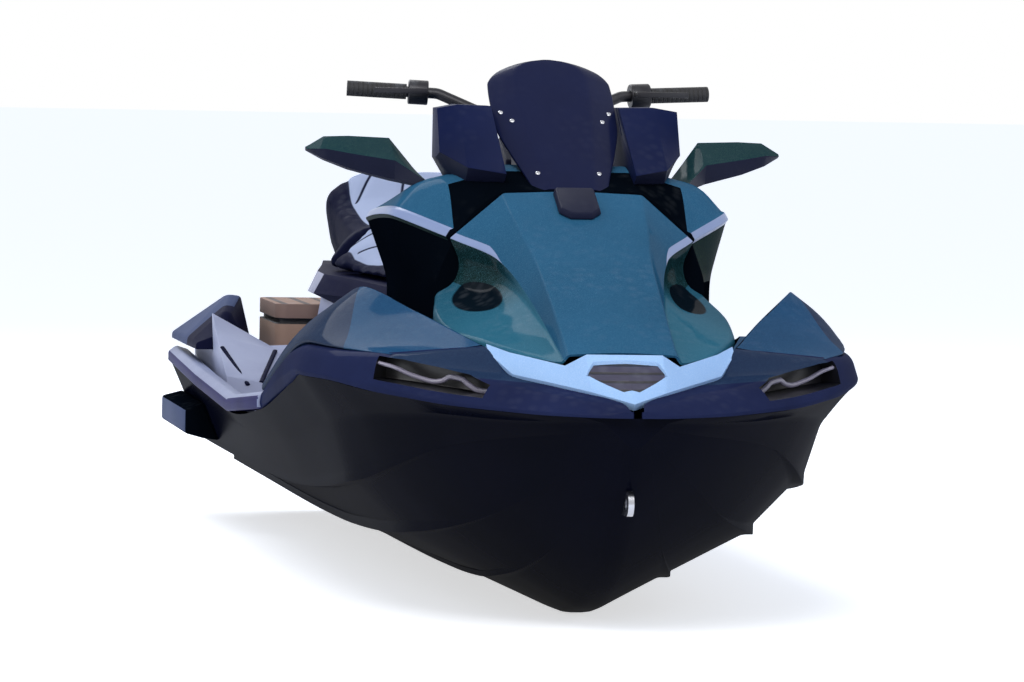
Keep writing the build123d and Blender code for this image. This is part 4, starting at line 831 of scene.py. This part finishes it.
# %% Bumper sections
# Columns: x, edge y and z, band y and z, inner y and z
BUMPER_ROWS = np.array([
    (406, 592, 398, 588, 425, 500, 425), (700, 597, 462, 590, 500, 345, 500),
    (900, 597, 492, 590, 545, 345, 545), (1068, 596, 510, 580, 565, 336, 565),
    (1250, 566, 510, 548, 566, 310, 566), (1449, 489, 502, 467, 566, 262, 586),
    (1541, 432, 492, 380, 548, 216, 530), (1620, 366, 484, 300, 526, 134, 514),
    (1700, 266, 476, 190, 504, 60, 500), (1750, 175, 471, 100, 490, 20, 488),
    (1790, 45, 467, 28, 474, 10, 475)], float)
OFF_RAIL = 0.5                              # mm between the bumper's foot and the hull's rail
SLATE_FROM, SLATE_TO = 1.449, 1.6           # x in metres between which its top is slate blue


def bumper_grid(rows, count):
    """Port rows, then the same to starboard, joined along the run of the edge line."""
    table = np.array(HULL_ROWS)
    base = np.interp(rows[:, 0], table[:, 0], table[:, 10])[:, None] + OFF_RAIL
    port = np.hstack([rows, base])
    starboard = port[::-1] * np.array([1, -1, 1, -1, 1, -1, 1, 1])
    line = np.vstack([port, starboard])
    run = np.concatenate([[0], np.cumsum(np.hypot(*np.diff(line[:, :2], axis=0).T))])
    x, ey, ez, by, bz, iy, iz, low = steady(run, line, np.linspace(0, run[-1], count)).T
    inward = np.sign(ey) * 4
    corners = [(iy, low), (ey - inward, low), (ey, ez), (by, bz), (iy, iz)]
    return rounded(sections(x, corners), [1, 3, 7, 35, 2], steps=9, closed=True)


bumper = moulded("bumper_moulding", [bumper_grid(BUMPER_ROWS, 260)], SLATE, crease=40,
                 finishes=(SLATE_TEAL,), stripes=striped([0, 0, 0, 1, 0], 9))
paint_faces(bumper.data, lambda c, n: (c[:, 0] < SLATE_FROM) | (c[:, 0] > SLATE_TO), 0)

# %% Lamp slots
LAMP_OUT = np.array([0.786, 0.619, 0.0])     # the way the lamp faces
# Columns: x, y of the slot's middle line, low z, high z
LAMP_ROWS = np.array([(1436, 480, 515, 562), (1478, 427, 510, 558), (1530, 361, 502, 546),
                      (1575, 303, 496, 534), (1612, 256, 492, 517)], float)
LAMP_DEEP, LAMP_PROUD, GUIDE_DEEP = -42, 90, -12        # from the middle line, the way the lamp faces


def lamp_grid(side):
    """Slot along the lamp's middle line, from deep in the bumper to proud of it."""
    x, y, low, high = LAMP_ROWS.T
    out = LAMP_OUT * np.array([1, side, 1])
    middle = np.stack([x, y * side, np.zeros_like(x)], axis=-1)
    corners = [middle + out * amount + np.array([0, 0, 1]) * z[:, None]
               for amount, z in ((LAMP_DEEP, low), (LAMP_PROUD, low), (LAMP_PROUD, high), (LAMP_DEEP, high))]
    return rounded(np.stack(corners, axis=1), 5, steps=3, closed=True)


cut_away(bumper, *[moulded("lamp_cutter", [lamp_grid(side)], LAMP_BLACK) for side in (1, -1)])
settle(bumper.data, 35)
fit(bumper, "craft", "bumper_graphite", "bow_bumper")

# %% [markdown]
# ## Light guides
# Each lamp slot holds a clear guide that swings up and down along it. A bevelled curve could draw it, but
# a tube worked out on a grid lets its height change along the way.

# %% A tube along a path
def swept(path, wide, tall, count=10):
    """Oval tube along a path (points, 3): at each point an oval, wide across and tall upwards, on the plane
    square to the path."""
    path = np.asarray(path, float)
    ahead = np.gradient(path, axis=0)
    ahead /= np.linalg.norm(ahead, axis=1, keepdims=True)
    side = np.cross((0, 0, 1), ahead)
    side /= np.linalg.norm(side, axis=1, keepdims=True)
    above = np.cross(ahead, side)
    angle = np.linspace(0, 2 * np.pi, count, endpoint=False)[None, :, None]
    wide = np.broadcast_to(np.asarray(wide, float), len(path))[:, None, None]
    tall = np.broadcast_to(np.asarray(tall, float), len(path))[:, None, None]
    return path[:, None] + side[:, None] * np.cos(angle) * wide + above[:, None] * np.sin(angle) * tall


# %% Light guides in the lamps
# Columns: share of the slot's length, how far the line lies above the middle in mm
WAVE_ROWS = np.array([(0.0, 9), (0.12, 5), (0.3, -8), (0.42, -12), (0.49, -7), (0.56, 5), (0.64, 4),
                      (0.7, -5), (0.78, -12), (0.87, -10), (1.0, 5)])


def light_guide(side):
    """The guide's line swings up and down between the slot's edges and grows thicker towards the nose."""
    share = np.linspace(0, 1, 70)
    run = np.linspace(0, 1, len(LAMP_ROWS))
    x, y, low, high = steady(run, LAMP_ROWS, share).T
    swing = steady(WAVE_ROWS[:, 0], WAVE_ROWS[:, 1:], share)[:, 0]
    out = LAMP_OUT * np.array([1, side, 1])
    line = np.stack([x, y * side, (low + high) / 2 + swing], axis=-1) + out * GUIDE_DEEP
    return swept(line, wide=5.0, tall=4.2 + 1.8 * np.clip(share * 1.6, 0, 1))


guides = moulded("lamp_light_guides", [light_guide(side) for side in (1, -1)], LAMP_TUBE)
fit(guides, "craft", "lamp_clear", "headlamps")

# %% [markdown]
# ## Fenders
# The two painted fenders rise from the bumper to a crest beside the hood. Their outer face is teal in
# front and slate behind, and the face towards the hood is black, where air goes in. The teal ends at a
# line across the sections, so the faces are split along a plane there and painted on each side of it.

# %% Fender sections
# Columns: x, band y and z, crest y and z, valley y and z, inner y
FENDER_ROWS = [
    (406, 588, 425, 566, 448, 545, 440, 500), (700, 590, 500, 520, 590, 470, 540, 345),
    (900, 590, 545, 480, 655, 440, 570, 345), (1068, 580, 565, 453, 689, 420, 585, 336),
    (1250, 548, 566, 359, 641, 335, 600, 310), (1449, 467, 566, 262, 588, 260, 575, 250),
]


def fender_grid(rows):
    """Sections from the band over the crest down into the valley."""
    x, by, bz, ty, tz, vy, vz, iy = rows.T
    swell = np.interp(x, [1250, 1449], [9, -5])
    belly_y, belly_z = by + 0.5 * (ty - by) + swell, bz + 0.5 * (tz - bz) + swell
    corners = [(iy, bz), (by, bz), (belly_y, belly_z), (ty, tz), (vy, vz), (iy, vz)]
    return rounded(sections(x, corners), [1, 28, 70, 7, 12, 2], steps=6, closed=True)


# %% Where the teal ends
# The teal ends at a line that runs from the top of the crest down and forward to the bumper.
TEAL_END, TEAL_SIDE = np.array([1.12, 0.484, 0.65]), np.array([-0.418, 0.821, -0.388])


def fender_finish(centre, normal):
    """Paint outside the crest, black inside it."""
    return (outward(centre, normal) < 0.02) & (normal[:, 2] < 0.97)


def fender_flank(centre, normal):
    """The outer face behind the line where the teal ends."""
    port = np.where([False, True, False], np.abs(centre), centre)
    return ((port - TEAL_END) @ TEAL_SIDE > 0) & ~fender_finish(centre, normal)


grid = fender_grid(along(FENDER_ROWS, 60))
# The fenders take the darker teal, a painted shade, with black inside the crest.
fenders = moulded("fender_panels", [grid, mirrored(grid)], FENDER_SHADED_TEAL, finishes=(BLACK_AND_SHADE, SLATE_TEAL))
scored(fenders.data, *[(TEAL_END * [1, side, 1], TEAL_SIDE * [1, side, 1]) for side in (1, -1)])
paint_faces(fenders.data, fender_finish, 1)
paint_faces(fenders.data, fender_flank, 2)
fit(fenders, "craft", "body_teal", "fenders")

# %% [markdown]
# ## The hood
# The hood is a thin shell: a raised middle between two creases, a lip that runs on from the cowl's, a scoop
# under the lip and a low shelf that ends in a skirt. All of them are corners of the same sections, so
# they meet without a joint. It opens, so it has a real thickness and an inner face, given by a Solidify
# modifier, and two pins at its nose that it turns on.

# %% Hood sections
# Columns: x, crease y and z, lip y and z, scoop y and z, shelf y and z, lobe y and z
HOOD_ROWS = [
    (970, 149, 884, 262, 787, 238, 735, 250, 692, 292, 668),
    (1108, 138, 818, 182, 749, 172, 712, 205, 668, 312, 632),
    (1250, 122, 750, 148, 692, 150, 672, 190, 645, 300, 606),
    (1449, 116, 655, 124, 610, 128, 604, 165, 598, 240, 588),
    (1604, 112, 578, 120, 566, 123, 562, 130, 558, 140, 552),
]
TRIM_EDGE = np.array([(86, 1616), (124, 1597), (222, 1494), (262, 1446)], float)    # y and x
HOOD_STEPS = 7
LIP_WIDE, LIP_END, LIP_FADE = 17, 1125, 60      # the lip's width, and x where it has narrowed to nothing
SKIRT, CROWN = 30, 6                            # how far the skirt hangs down and the middle rises


# %% The hood's surface
def hood_grid(rows):
    """From the port skirt's foot over the crown to starboard."""
    x, cy, cz, ly, lz, sy, sz, hy, hz, oy, oz = rows.T
    share = LIP_WIDE / np.hypot(cy - ly, cz - lz) * np.clip((LIP_END - x) / LIP_FADE, 0.001, 1)
    half = sections(x, [(oy, oz - SKIRT), (oy, oz), (hy, hz), (sy, sz), (ly, lz),
                        (ly + share * (cy - ly), lz + share * (cz - lz)), (cy, cz)])
    radii = [0, 12, 30, 22, 4, 3, 6]
    lines = np.concatenate([half, sections(x, [(0, cz + CROWN)]), mirrored(half)], axis=1)
    return rounded(lines, radii + [60] + radii[::-1], steps=HOOD_STEPS)


def stopped(grid, edge):
    """Each line along the craft ends where it meets an edge given in plan as y and x, and its points are
    spread evenly over what is left."""
    past = grid[:, :, 0] - np.interp(np.abs(grid[:, :, 1]), edge[:, 0], edge[:, 1])
    after = np.where(past.max(axis=0) > 0, np.argmax(past > 0, axis=0), len(grid) - 1)
    column = np.arange(grid.shape[1])
    near, far = past[after - 1, column], past[after, column]
    last = after - 1 + np.clip(-near / (far - near), 0, 1)
    where = np.linspace(0, 1, len(grid))[:, None] * last
    low = np.minimum(where.astype(int), len(grid) - 2)
    share = (where - low)[..., None]
    return grid[low, column] * (1 - share) + grid[low + 1, column] * share


# %% The hood's shell
# The lip's band takes the painted highlight and the scoop the painted shade.
hood = moulded("hood_shell", [stopped(hood_grid(along(HOOD_ROWS, 60)), TRIM_EDGE)], TEAL, closed=False,
               finishes=(BLACK_AND_SHADE, SCOOP_SHADE_PAINT, LIP_HIGHLIGHT, SHELF),
               stripes=striped([4, 4, 2, 2, 3, 0, 0, 0, 0, 3, 2, 2, 4, 4], HOOD_STEPS, closed=False))


def outer_side_up(shape):
    """Turns the shell's faces over if its top looks down."""
    top = max(shape.faces, key=lambda face: face.calc_center_median().z)
    if top.normal.z < 0:
        bmesh.ops.reverse_faces(shape, faces=shape.faces)


edited(hood.data, outer_side_up)
wall = hood.modifiers.new("wall", "SOLIDIFY")
wall.thickness, wall.offset, wall.material_offset = 0.005, -1, 1
baked(hood)
settle(hood.data, 30)
fit(hood, "hood", "body_teal", "hood")

# %% Hinge pins under the hood's nose
LUG = [(1592, 568), (1608, 568), (1608, 576), (1592, 576)]      # its side view: x and z
pins = []
for side in (1, -1):
    pins.append(np.array([[(x, side * y, z) for x, z in LUG] for y in (42, 54)], float))
    pins.append(swept([(1608, side * y, 572) for y in (26, 40, 54)], 4, 4, count=16))
fit(moulded("hood_hinge_pins", pins, BLACK_STEEL), "hood", "body_teal")

# %% [markdown]
# ## The upper cowl
# Behind the hood the cowl carries the visor, the pods and the mirrors. A sharp ledge runs along its
# shoulder, with a pale band painted on it as its highlight; above it the cowl is painted, below it the
# ledge's underside is dark green painted shade and the foot is black. Separate panels would leave
# gaps between them, so it is one closed form, and each finish keeps to its own columns of faces.

# %% Upper cowl sections
# Columns: x, top y and z, brow y and z, shoulder y and z, waist y and z
COWL_ROWS = [
    (385, 110, 800, 200, 790, 290, 750, 285, 640), (560, 150, 905, 270, 890, 385, 815, 335, 690),
    (798, 150, 940, 306, 900, 371, 830, 330, 700), (964, 149, 890, 200, 856, 262, 787, 290, 700),
]
COWL_STEPS = 5
COWL_FOOT_Y, COWL_FOOT_Z = 330, 520.3       # its foot stands this far out at most, on the console


def cowl_grid(rows):
    """From the foot over waist, lip, brow and top to the other side. The lip is a band 18 mm wide."""
    x, ty, tz, by, bz, sy, sz, wy, wz = rows.T
    foot = np.minimum(COWL_FOOT_Y, wy)
    corners = [(foot, COWL_FOOT_Z), (wy, wz), (sy - 6, sz - 8), (sy, sz), (sy - 9, sz + 15),
               (sy - 16, sz + 17), (by, bz), (ty, tz)]
    return both_sides(sections(x, corners), [2, 25, 2, 3, 3, 6, 30, 14], steps=COWL_STEPS)


# %% Where the cowl is black, and where black is painted shade
COWL_BACK, SHADE_FROM_X, SEAL_X = 0.386, 0.862, 0.954        # in metres, where the cowl's paint changes
SHADE_WITHIN_Y = 0.252


def cowl_bands(centre, normal):
    """The cowl is black at its back, a seal runs round its front, and black is painted as shade between the
    pods and the hood.
    """
    beside = np.abs(centre[:, 1])
    return ((centre[:, 0] < COWL_BACK) | (centre[:, 0] > SEAL_X) | (normal[:, 0] > 0.9)
            | ((centre[:, 0] > SHADE_FROM_X) & (beside < SHADE_WITHIN_Y) & (centre[:, 2] > 0.8)))


# The ledge's band takes the painted highlight, its underside the dark green painted shade.
cowl = moulded("upper_cowl_panels", [cowl_grid(along(COWL_ROWS, 50))], TEAL, crease=28,
               finishes=(BLACK_AND_SHADE, LIP_HIGHLIGHT, LEDGE_SHADE_GREEN),
               stripes=striped([1, 3, 2, 2, 0, 0, 0, 0, 0, 0, 2, 2, 3, 1, 1, 1], COWL_STEPS))
scored(cowl.data, ((0, SHADE_WITHIN_Y, 0), (0, 1, 0)), ((0, -SHADE_WITHIN_Y, 0), (0, 1, 0)), ((SHADE_FROM_X, 0, 0), (1, 0, 0)),
       ((SEAL_X, 0, 0), (1, 0, 0)))
paint_faces(cowl.data, cowl_bands)
fit(cowl, "craft", "body_teal", "upper_cowl")

# %% [markdown]
# ## Visor
# The visor is a smoked screen in three facets, thicker than glass, held by small steel screws. It leans
# back, so its sections lie across its own slope, and its outline is read off straight from the table.

# %% Visor sections, up its own slope
# Columns: distance up the slope, half width, middle facet's half width, how far the edge lies back
VISOR_ROWS = [(0, 78, 50, 10), (60, 91, 54, 14), (150, 114, 62, 20), (250, 133, 72, 26), (350, 136, 78, 24),
              (398, 134, 78, 23), (412, 127, 74, 20), (428, 112, 66, 16), (442, 86, 52, 11), (452, 50, 30, 5),
              (456, 14, 8, 1)]
VISOR_FOOT = np.array([962.0, 0, 894.0])
SLOPE = np.radians(36.4)
VISOR_UP = np.array([-np.cos(SLOPE), 0, np.sin(SLOPE)])
VISOR_OUT = np.array([np.sin(SLOPE), 0, np.cos(SLOPE)])


def visor_grid(rows, thick):
    """Outer face from edge to edge over the two creases, then the inner face back again."""
    d, half, crease, back = rows.T
    corners = [(-half, back), (-crease, 0 * d), (crease, 0 * d), (half, back), (half, back + thick),
               (crease, 0 * d + thick), (-crease, 0 * d + thick), (-half, back + thick)]
    lines = [VISOR_FOOT + VISOR_UP * d[:, None] + np.array([0, 1, 0]) * y[:, None] - VISOR_OUT * b[:, None]
             for y, b in corners]
    return rounded(np.stack(lines, axis=1), [2, 7, 7, 2, 2, 7, 7, 2], steps=4, closed=True)


visor = moulded("visor_screen", [visor_grid(along(VISOR_ROWS, 60), 6.0)], VISOR)
fit(visor, "craft", "visor_dark", "visor")


# %% Screws on the visor
def dome(centre, out, radius, tall, count=14, rings=5):
    """Screw head: circles that shrink as the cosine while they rise as the sine along out."""
    out = np.asarray(out, float) / np.linalg.norm(out)
    side = np.cross(out, (0, 1, 0))
    side /= np.linalg.norm(side)
    other = np.cross(out, side)
    angle = np.linspace(0, 2 * np.pi, count, endpoint=False)[None, :, None]
    lift = np.linspace(0, np.pi / 2 - 0.2, rings)[:, None, None]
    return (np.asarray(centre, float) + (side * np.cos(angle) + other * np.sin(angle)) * np.cos(lift) * radius
            + out * np.sin(lift) * tall)


SCREW_ROWS = [(250, 98), (288, 118), (60, 66)]      # distance up the visor, and y
heads = []
for d, y in SCREW_ROWS:
    row = along(VISOR_ROWS, 2, d, d + 0.1)[0]
    back = (y - row[2]) / (row[1] - row[2]) * row[3]
    for side in (1, -1):
        heads.append(dome(VISOR_FOOT + VISOR_UP * d + np.array([0, side * y, 0]) - VISOR_OUT * (back - 0.2),
                          VISOR_OUT, radius=6.0, tall=2.4))
fit(moulded("visor_screws", heads, STEEL), "craft", "steel")

# %% [markdown]
# ## Rear corner pods
# Each pod has a grey outer face. A dark band covers its crest and its inner face and runs down its front
# edge, and a light step leads from it to the footwell. Its flats are straight from section to section, so
# the corners follow straight lines here and not the cubic.

# %% Pod sections
# Columns: x, inner foot y, outer y and z, crest y and z, inner crest y and z
ARCH_ROWS = [
    (-1640, 400, 566, 446, 430, 542, 400, 538), (-1340, 400, 566, 452, 462, 556, 430, 552),
    (-1200, 430, 564, 450, 490, 520, 470, 516), (-1130, 470, 562, 446, 520, 462, 505, 460),
]
REAR_DECK_Z = 430.3
FRONT_EDGE, FRONT_LEAN = np.array([-1.25, 0, 0.54]), 0.5        # a point on the dark band's end, and its lean
table = np.array(sorted(ARCH_ROWS), float)
x = np.linspace(table[0, 0], table[-1, 0], 52)
foot, oy, oz, cy, cz, iy, iz = [np.interp(x, table[:, 0], column) for column in table.T[1:]]
corners = [(foot, REAR_DECK_Z), (oy, REAR_DECK_Z), (oy, oz), (cy, cz), (iy, iz)]
grid = rounded(sections(x, corners), [2, 3, 10, 12, 8], steps=5, closed=True)


def arch_bands(centre, normal):
    """The front edge is dark below the crest, in a band that leans back as it goes down."""
    return centre[:, 0] > FRONT_EDGE[0] + FRONT_LEAN * (centre[:, 2] - FRONT_EDGE[2])


arches = moulded("rear_corner_pods", [grid, mirrored(grid)], ARCH_GREY, finishes=(NAVY,),
                 stripes=striped([0, 0, 0, 1, 1], 5))
scored(arches.data, (FRONT_EDGE, (1, 0, -FRONT_LEAN)))
paint_faces(arches.data, arch_bands)
fit(arches, "craft", "cockpit_dark", "rear_arches")

# %% [markdown]
# ## Joints in the footwell
# The light mouldings of the footwell meet in dark gaps. Grooves would have to be cut into the measured
# deck, so a thin dark seal lies in each gap, an oval tube that is half sunk.

# %% Dark joints between the light mouldings
JOINTS = [
    [(-1000, 384, 436), (-800, 441, 371)],
    [(-945, 519, 446), (-790, 474, 366)],
]
strips = []
for path in JOINTS:
    path = np.array(path, float)
    run = np.concatenate([[0], np.cumsum(np.linalg.norm(np.diff(path, axis=0), axis=1))])
    fine = np.stack([np.interp(np.linspace(0, run[-1], 40), run, column) for column in path.T], axis=-1)
    for side in (1, -1):
        strips.append(swept(fine * np.array([1, side, 1]), 6.0, 3.5, count=8))
fit(moulded("footwell_joints", strips, NAVY), "craft", "cockpit_dark")

# %% [markdown]
# ## Seats
# The two cushions are sewn vinyl over foam: a crowned light insert between dark bolsters, with chevron
# seams. Sculpting could give the crown, but cloth under pressure finds it by itself. Each starts as a
# slightly smaller closed form, is remeshed evenly and blown up as cloth that is held at its foot. Seams
# are drawn in afterwards, as grooves and as a darker line.

# %% Cushion sections
# Columns: x, half width low down, wing y and z, middle y and z, top y and z
FRONT_SEAT_ROWS = [
    (-430, 335, 345, 672, 270, 760, 200, 835), (-380, 335, 345, 670, 268, 735, 170, 775),
    (-250, 300, 315, 668, 245, 695, 170, 712), (0, 245, 250, 662, 215, 690, 140, 712),
    (170, 205, 205, 668, 185, 700, 115, 728), (238, 178, 178, 668, 160, 700, 100, 722),
]
REAR_SEAT_ROWS = [
    (-1150, 225, 245, 700, 262, 800, 190, 872), (-1060, 235, 258, 700, 280, 820, 200, 872),
    (-950, 240, 262, 695, 275, 790, 180, 800), (-700, 255, 268, 690, 270, 745, 170, 768),
    (-500, 325, 338, 676, 285, 745, 170, 775), (-436, 330, 342, 674, 280, 760, 190, 800),
]

# %% What the cushions rest on, their inserts and their seams
# The seat base's top: x and z
BASE_TOP = np.array([(-1160, 650), (-800, 655), (-500, 652), (-380, 650), (-200, 645), (0, 640), (240, 640)],
                    float)
# How wide the light insert is: x and half width
FRONT_INSERT = np.array([(-430, 300), (-330, 288), (-200, 238), (0, 165), (238, 108)], float)
REAR_INSERT = np.array([(-1150, 205), (-1000, 212), (-700, 200), (-436, 205)], float)
# Seams across the insert, in plan from the middle to the bolster: x and y pairs
FRONT_SEAMS = [[(-330, 0), (-410, 295)], [(-230, 0), (-340, 275)], [(-60, 0), (-160, 212)],
               [(90, 0), (10, 155)]]
REAR_SEAMS = [[(-960, 198), (-1110, 110)], [(-820, 190), (-960, 90), (-1110, 52)], [(-620, 0), (-690, 200)],
              [(-520, 0), (-590, 202)]]
OFF_BASE = 0.6                  # mm between a cushion and the seat base


def cushion_grid(rows):
    """Sections from the port foot over the crown to starboard, closed along the seat base."""
    x, low, wy, wz, my, mz, ty, tz = rows.T
    foot = np.interp(x, BASE_TOP[:, 0], BASE_TOP[:, 1]) + OFF_BASE
    return both_sides(sections(x, [(low, foot), (wy, wz), (my, mz), (ty, tz)]), [3, 16, 30, 45], steps=6)


# %% The seat base's top, and one level of subdivision
def base_top(x):
    """Height of the seat base's top at x, both in metres."""
    return np.interp(x * 1000, BASE_TOP[:, 0], BASE_TOP[:, 1]) / 1000


def subdivided(piece):
    """One level of subdivision, put into the mesh."""
    finer = piece.modifiers.new("finer", "SUBSURF")
    finer.levels = finer.render_levels = 1
    baked(piece)
    return piece.data


# %% How far points are from the insert's edge and the seams
def to_border(spots, insert):
    """How far inside the light insert a point lies, across the craft; negative outside it."""
    return np.interp(spots[:, 0] * 1000, insert[:, 0], insert[:, 1]) / 1000 - np.abs(spots[:, 1])


def to_seams(spots, seams):
    """Distance in plan from each point, with its y taken without its sign, to the nearest seam."""
    plan = np.stack([spots[:, 0], np.abs(spots[:, 1])], axis=-1)
    best = np.full(len(plan), 9.0)
    for seam in seams:
        line = np.array(seam, float) / 1000
        for start, end in zip(line[:-1], line[1:]):
            share = np.clip((plan - start) @ (end - start) / ((end - start) @ (end - start)), 0, 1)[:, None]
            best = np.minimum(best, np.linalg.norm(plan - start - share * (end - start), axis=1))
    return best


def held(spots, rows):
    """Points kept over the seat base and between the cushion's ends."""
    kept = spots.copy()
    kept[:, 0] = np.clip(kept[:, 0], rows[0][0] / 1000, rows[-1][0] / 1000)
    kept[:, 2] = np.maximum(kept[:, 2], base_top(kept[:, 0]) + OFF_BASE / 1000)
    return kept


# %% Blowing up
START_IN = 0.009                # how much smaller than its sections a cushion starts, in metres
FARTHEST = 0.018                # no point of it moves farther than this when it is blown up
VOXEL = 0.014
PIN_HEIGHT = 0.006              # what lies this low over the seat base is held
FRAMES, PRESSURE = 20, 4.0
EASE = 0.02                     # a free move of this size, in metres, is scaled to half of FARTHEST


def blown(piece):
    """Cloth with pressure and no gravity, held at its foot. Every move is scaled down, long ones more, so
    that none passes FARTHEST, which keeps the crown of the blown form."""
    start = vectors(piece.data.vertices, "co")
    pins = piece.vertex_groups.new(name="foot")
    pins.add(np.flatnonzero(start[:, 2] < base_top(start[:, 0]) + PIN_HEIGHT).tolist(), 1.0, "REPLACE")
    cloth = piece.modifiers.new("cloth", "CLOTH")
    cloth.settings.use_pressure, cloth.settings.uniform_pressure_force = True, PRESSURE
    cloth.settings.effector_weights.gravity = 0.0
    cloth.settings.vertex_group_mass, cloth.settings.quality = "foot", 4
    cloth.point_cache.frame_start, cloth.point_cache.frame_end = 1, FRAMES
    for step in range(1, FRAMES + 1):
        bpy.context.scene.frame_set(step)
    baked(piece)
    bpy.context.scene.frame_set(1)
    moved = vectors(piece.data.vertices, "co") - start
    far = np.linalg.norm(moved, axis=1, keepdims=True)
    piece.data.vertices.foreach_set("co", (start + moved * FARTHEST / (far + EASE)).ravel())
    piece.data.update()
    print(piece.name, "moved at most", round(float(far.max()), 4), "m, scaled to stay under", FARTHEST)


# %% A whole cushion, with one subdivision before its seams and one after
BORDER_DEEP, BORDER_WIDE = 0.004, 0.007         # the groove round the light insert
SEAM_DEEP, SEAM_WIDE = 0.003, 0.008
WAIST_DEEP = 0.004                              # how far the sides are pulled in at mid length
UP, ASIDE = 0.15, 0.6                           # from what part of a normal a face looks up or aside
OUTSIDE = -0.05                                 # what counts as well outside the insert


def cushioned(name, rows, insert, seams):
    """A cushion from its sections: remeshed, blown up, subdivided, sewn and subdivided again."""
    piece = moulded(name, [cushion_grid(along(rows, 60))], VINYL)
    mesh = piece.data
    smaller = vectors(mesh.vertices, "co") - vectors(mesh.vertex_normals, "vector") * START_IN
    mesh.vertices.foreach_set("co", held(smaller, rows).ravel())
    even = piece.modifiers.new("even", "REMESH")
    even.mode, even.voxel_size = "VOXEL", VOXEL
    baked(piece)
    blown(piece)
    mesh = subdivided(piece)
    spots, out = vectors(mesh.vertices, "co"), vectors(mesh.vertex_normals, "vector")
    border, near = to_border(spots, insert), to_seams(spots, seams)
    faces_up = np.clip(out[:, 2] * 2, 0, 1)
    groove = (BORDER_DEEP * np.exp(-(border / BORDER_WIDE) ** 2)
              + SEAM_DEEP * np.exp(-(near / SEAM_WIDE) ** 2) * (border > 0))
    ends = np.array([rows[0][0], rows[-1][0]]) / 1000
    middle = np.sin(np.pi * np.clip((spots[:, 0] - ends[0]) / (ends[1] - ends[0]), 0, 1)) ** 2
    pulled = WAIST_DEEP * middle * (1 - faces_up) * (np.abs(out[:, 1]) > ASIDE)
    mesh.vertices.foreach_set("co", held(spots - out * (groove * faces_up + pulled)[:, None], rows).ravel())
    mesh.update()
    mesh = subdivided(piece)
    spots = vectors(mesh.vertices, "co")
    mesh.vertices.foreach_set("co", held(spots, rows).ravel())
    out = vectors(mesh.vertex_normals, "vector")
    border = np.where(out[:, 2] > UP, to_border(spots, insert), OUTSIDE)
    stitch = np.where(border > 0, np.minimum(to_seams(spots, seams), np.abs(border)), np.abs(border))
    mesh.attributes.new("insert", "FLOAT", "POINT").data.foreach_set("value", border)
    mesh.attributes.new("stitch", "FLOAT", "POINT").data.foreach_set("value", stitch)
    mesh.materials.clear()
    mesh.materials.append(VINYL)
    settle(mesh, 60)
    print(name, sum(len(face.vertices) - 2 for face in mesh.polygons), "triangles")
    return piece


# %% Both cushions
for name, rows, insert, seams in (("front", FRONT_SEAT_ROWS, FRONT_INSERT, FRONT_SEAMS),
                                  ("rear", REAR_SEAT_ROWS, REAR_INSERT, REAR_SEAMS)):
    cushion = cushioned(name + "_cushion", rows, insert, seams)
    fit(cushion, "craft", "seat_vinyl", name + "_seat")
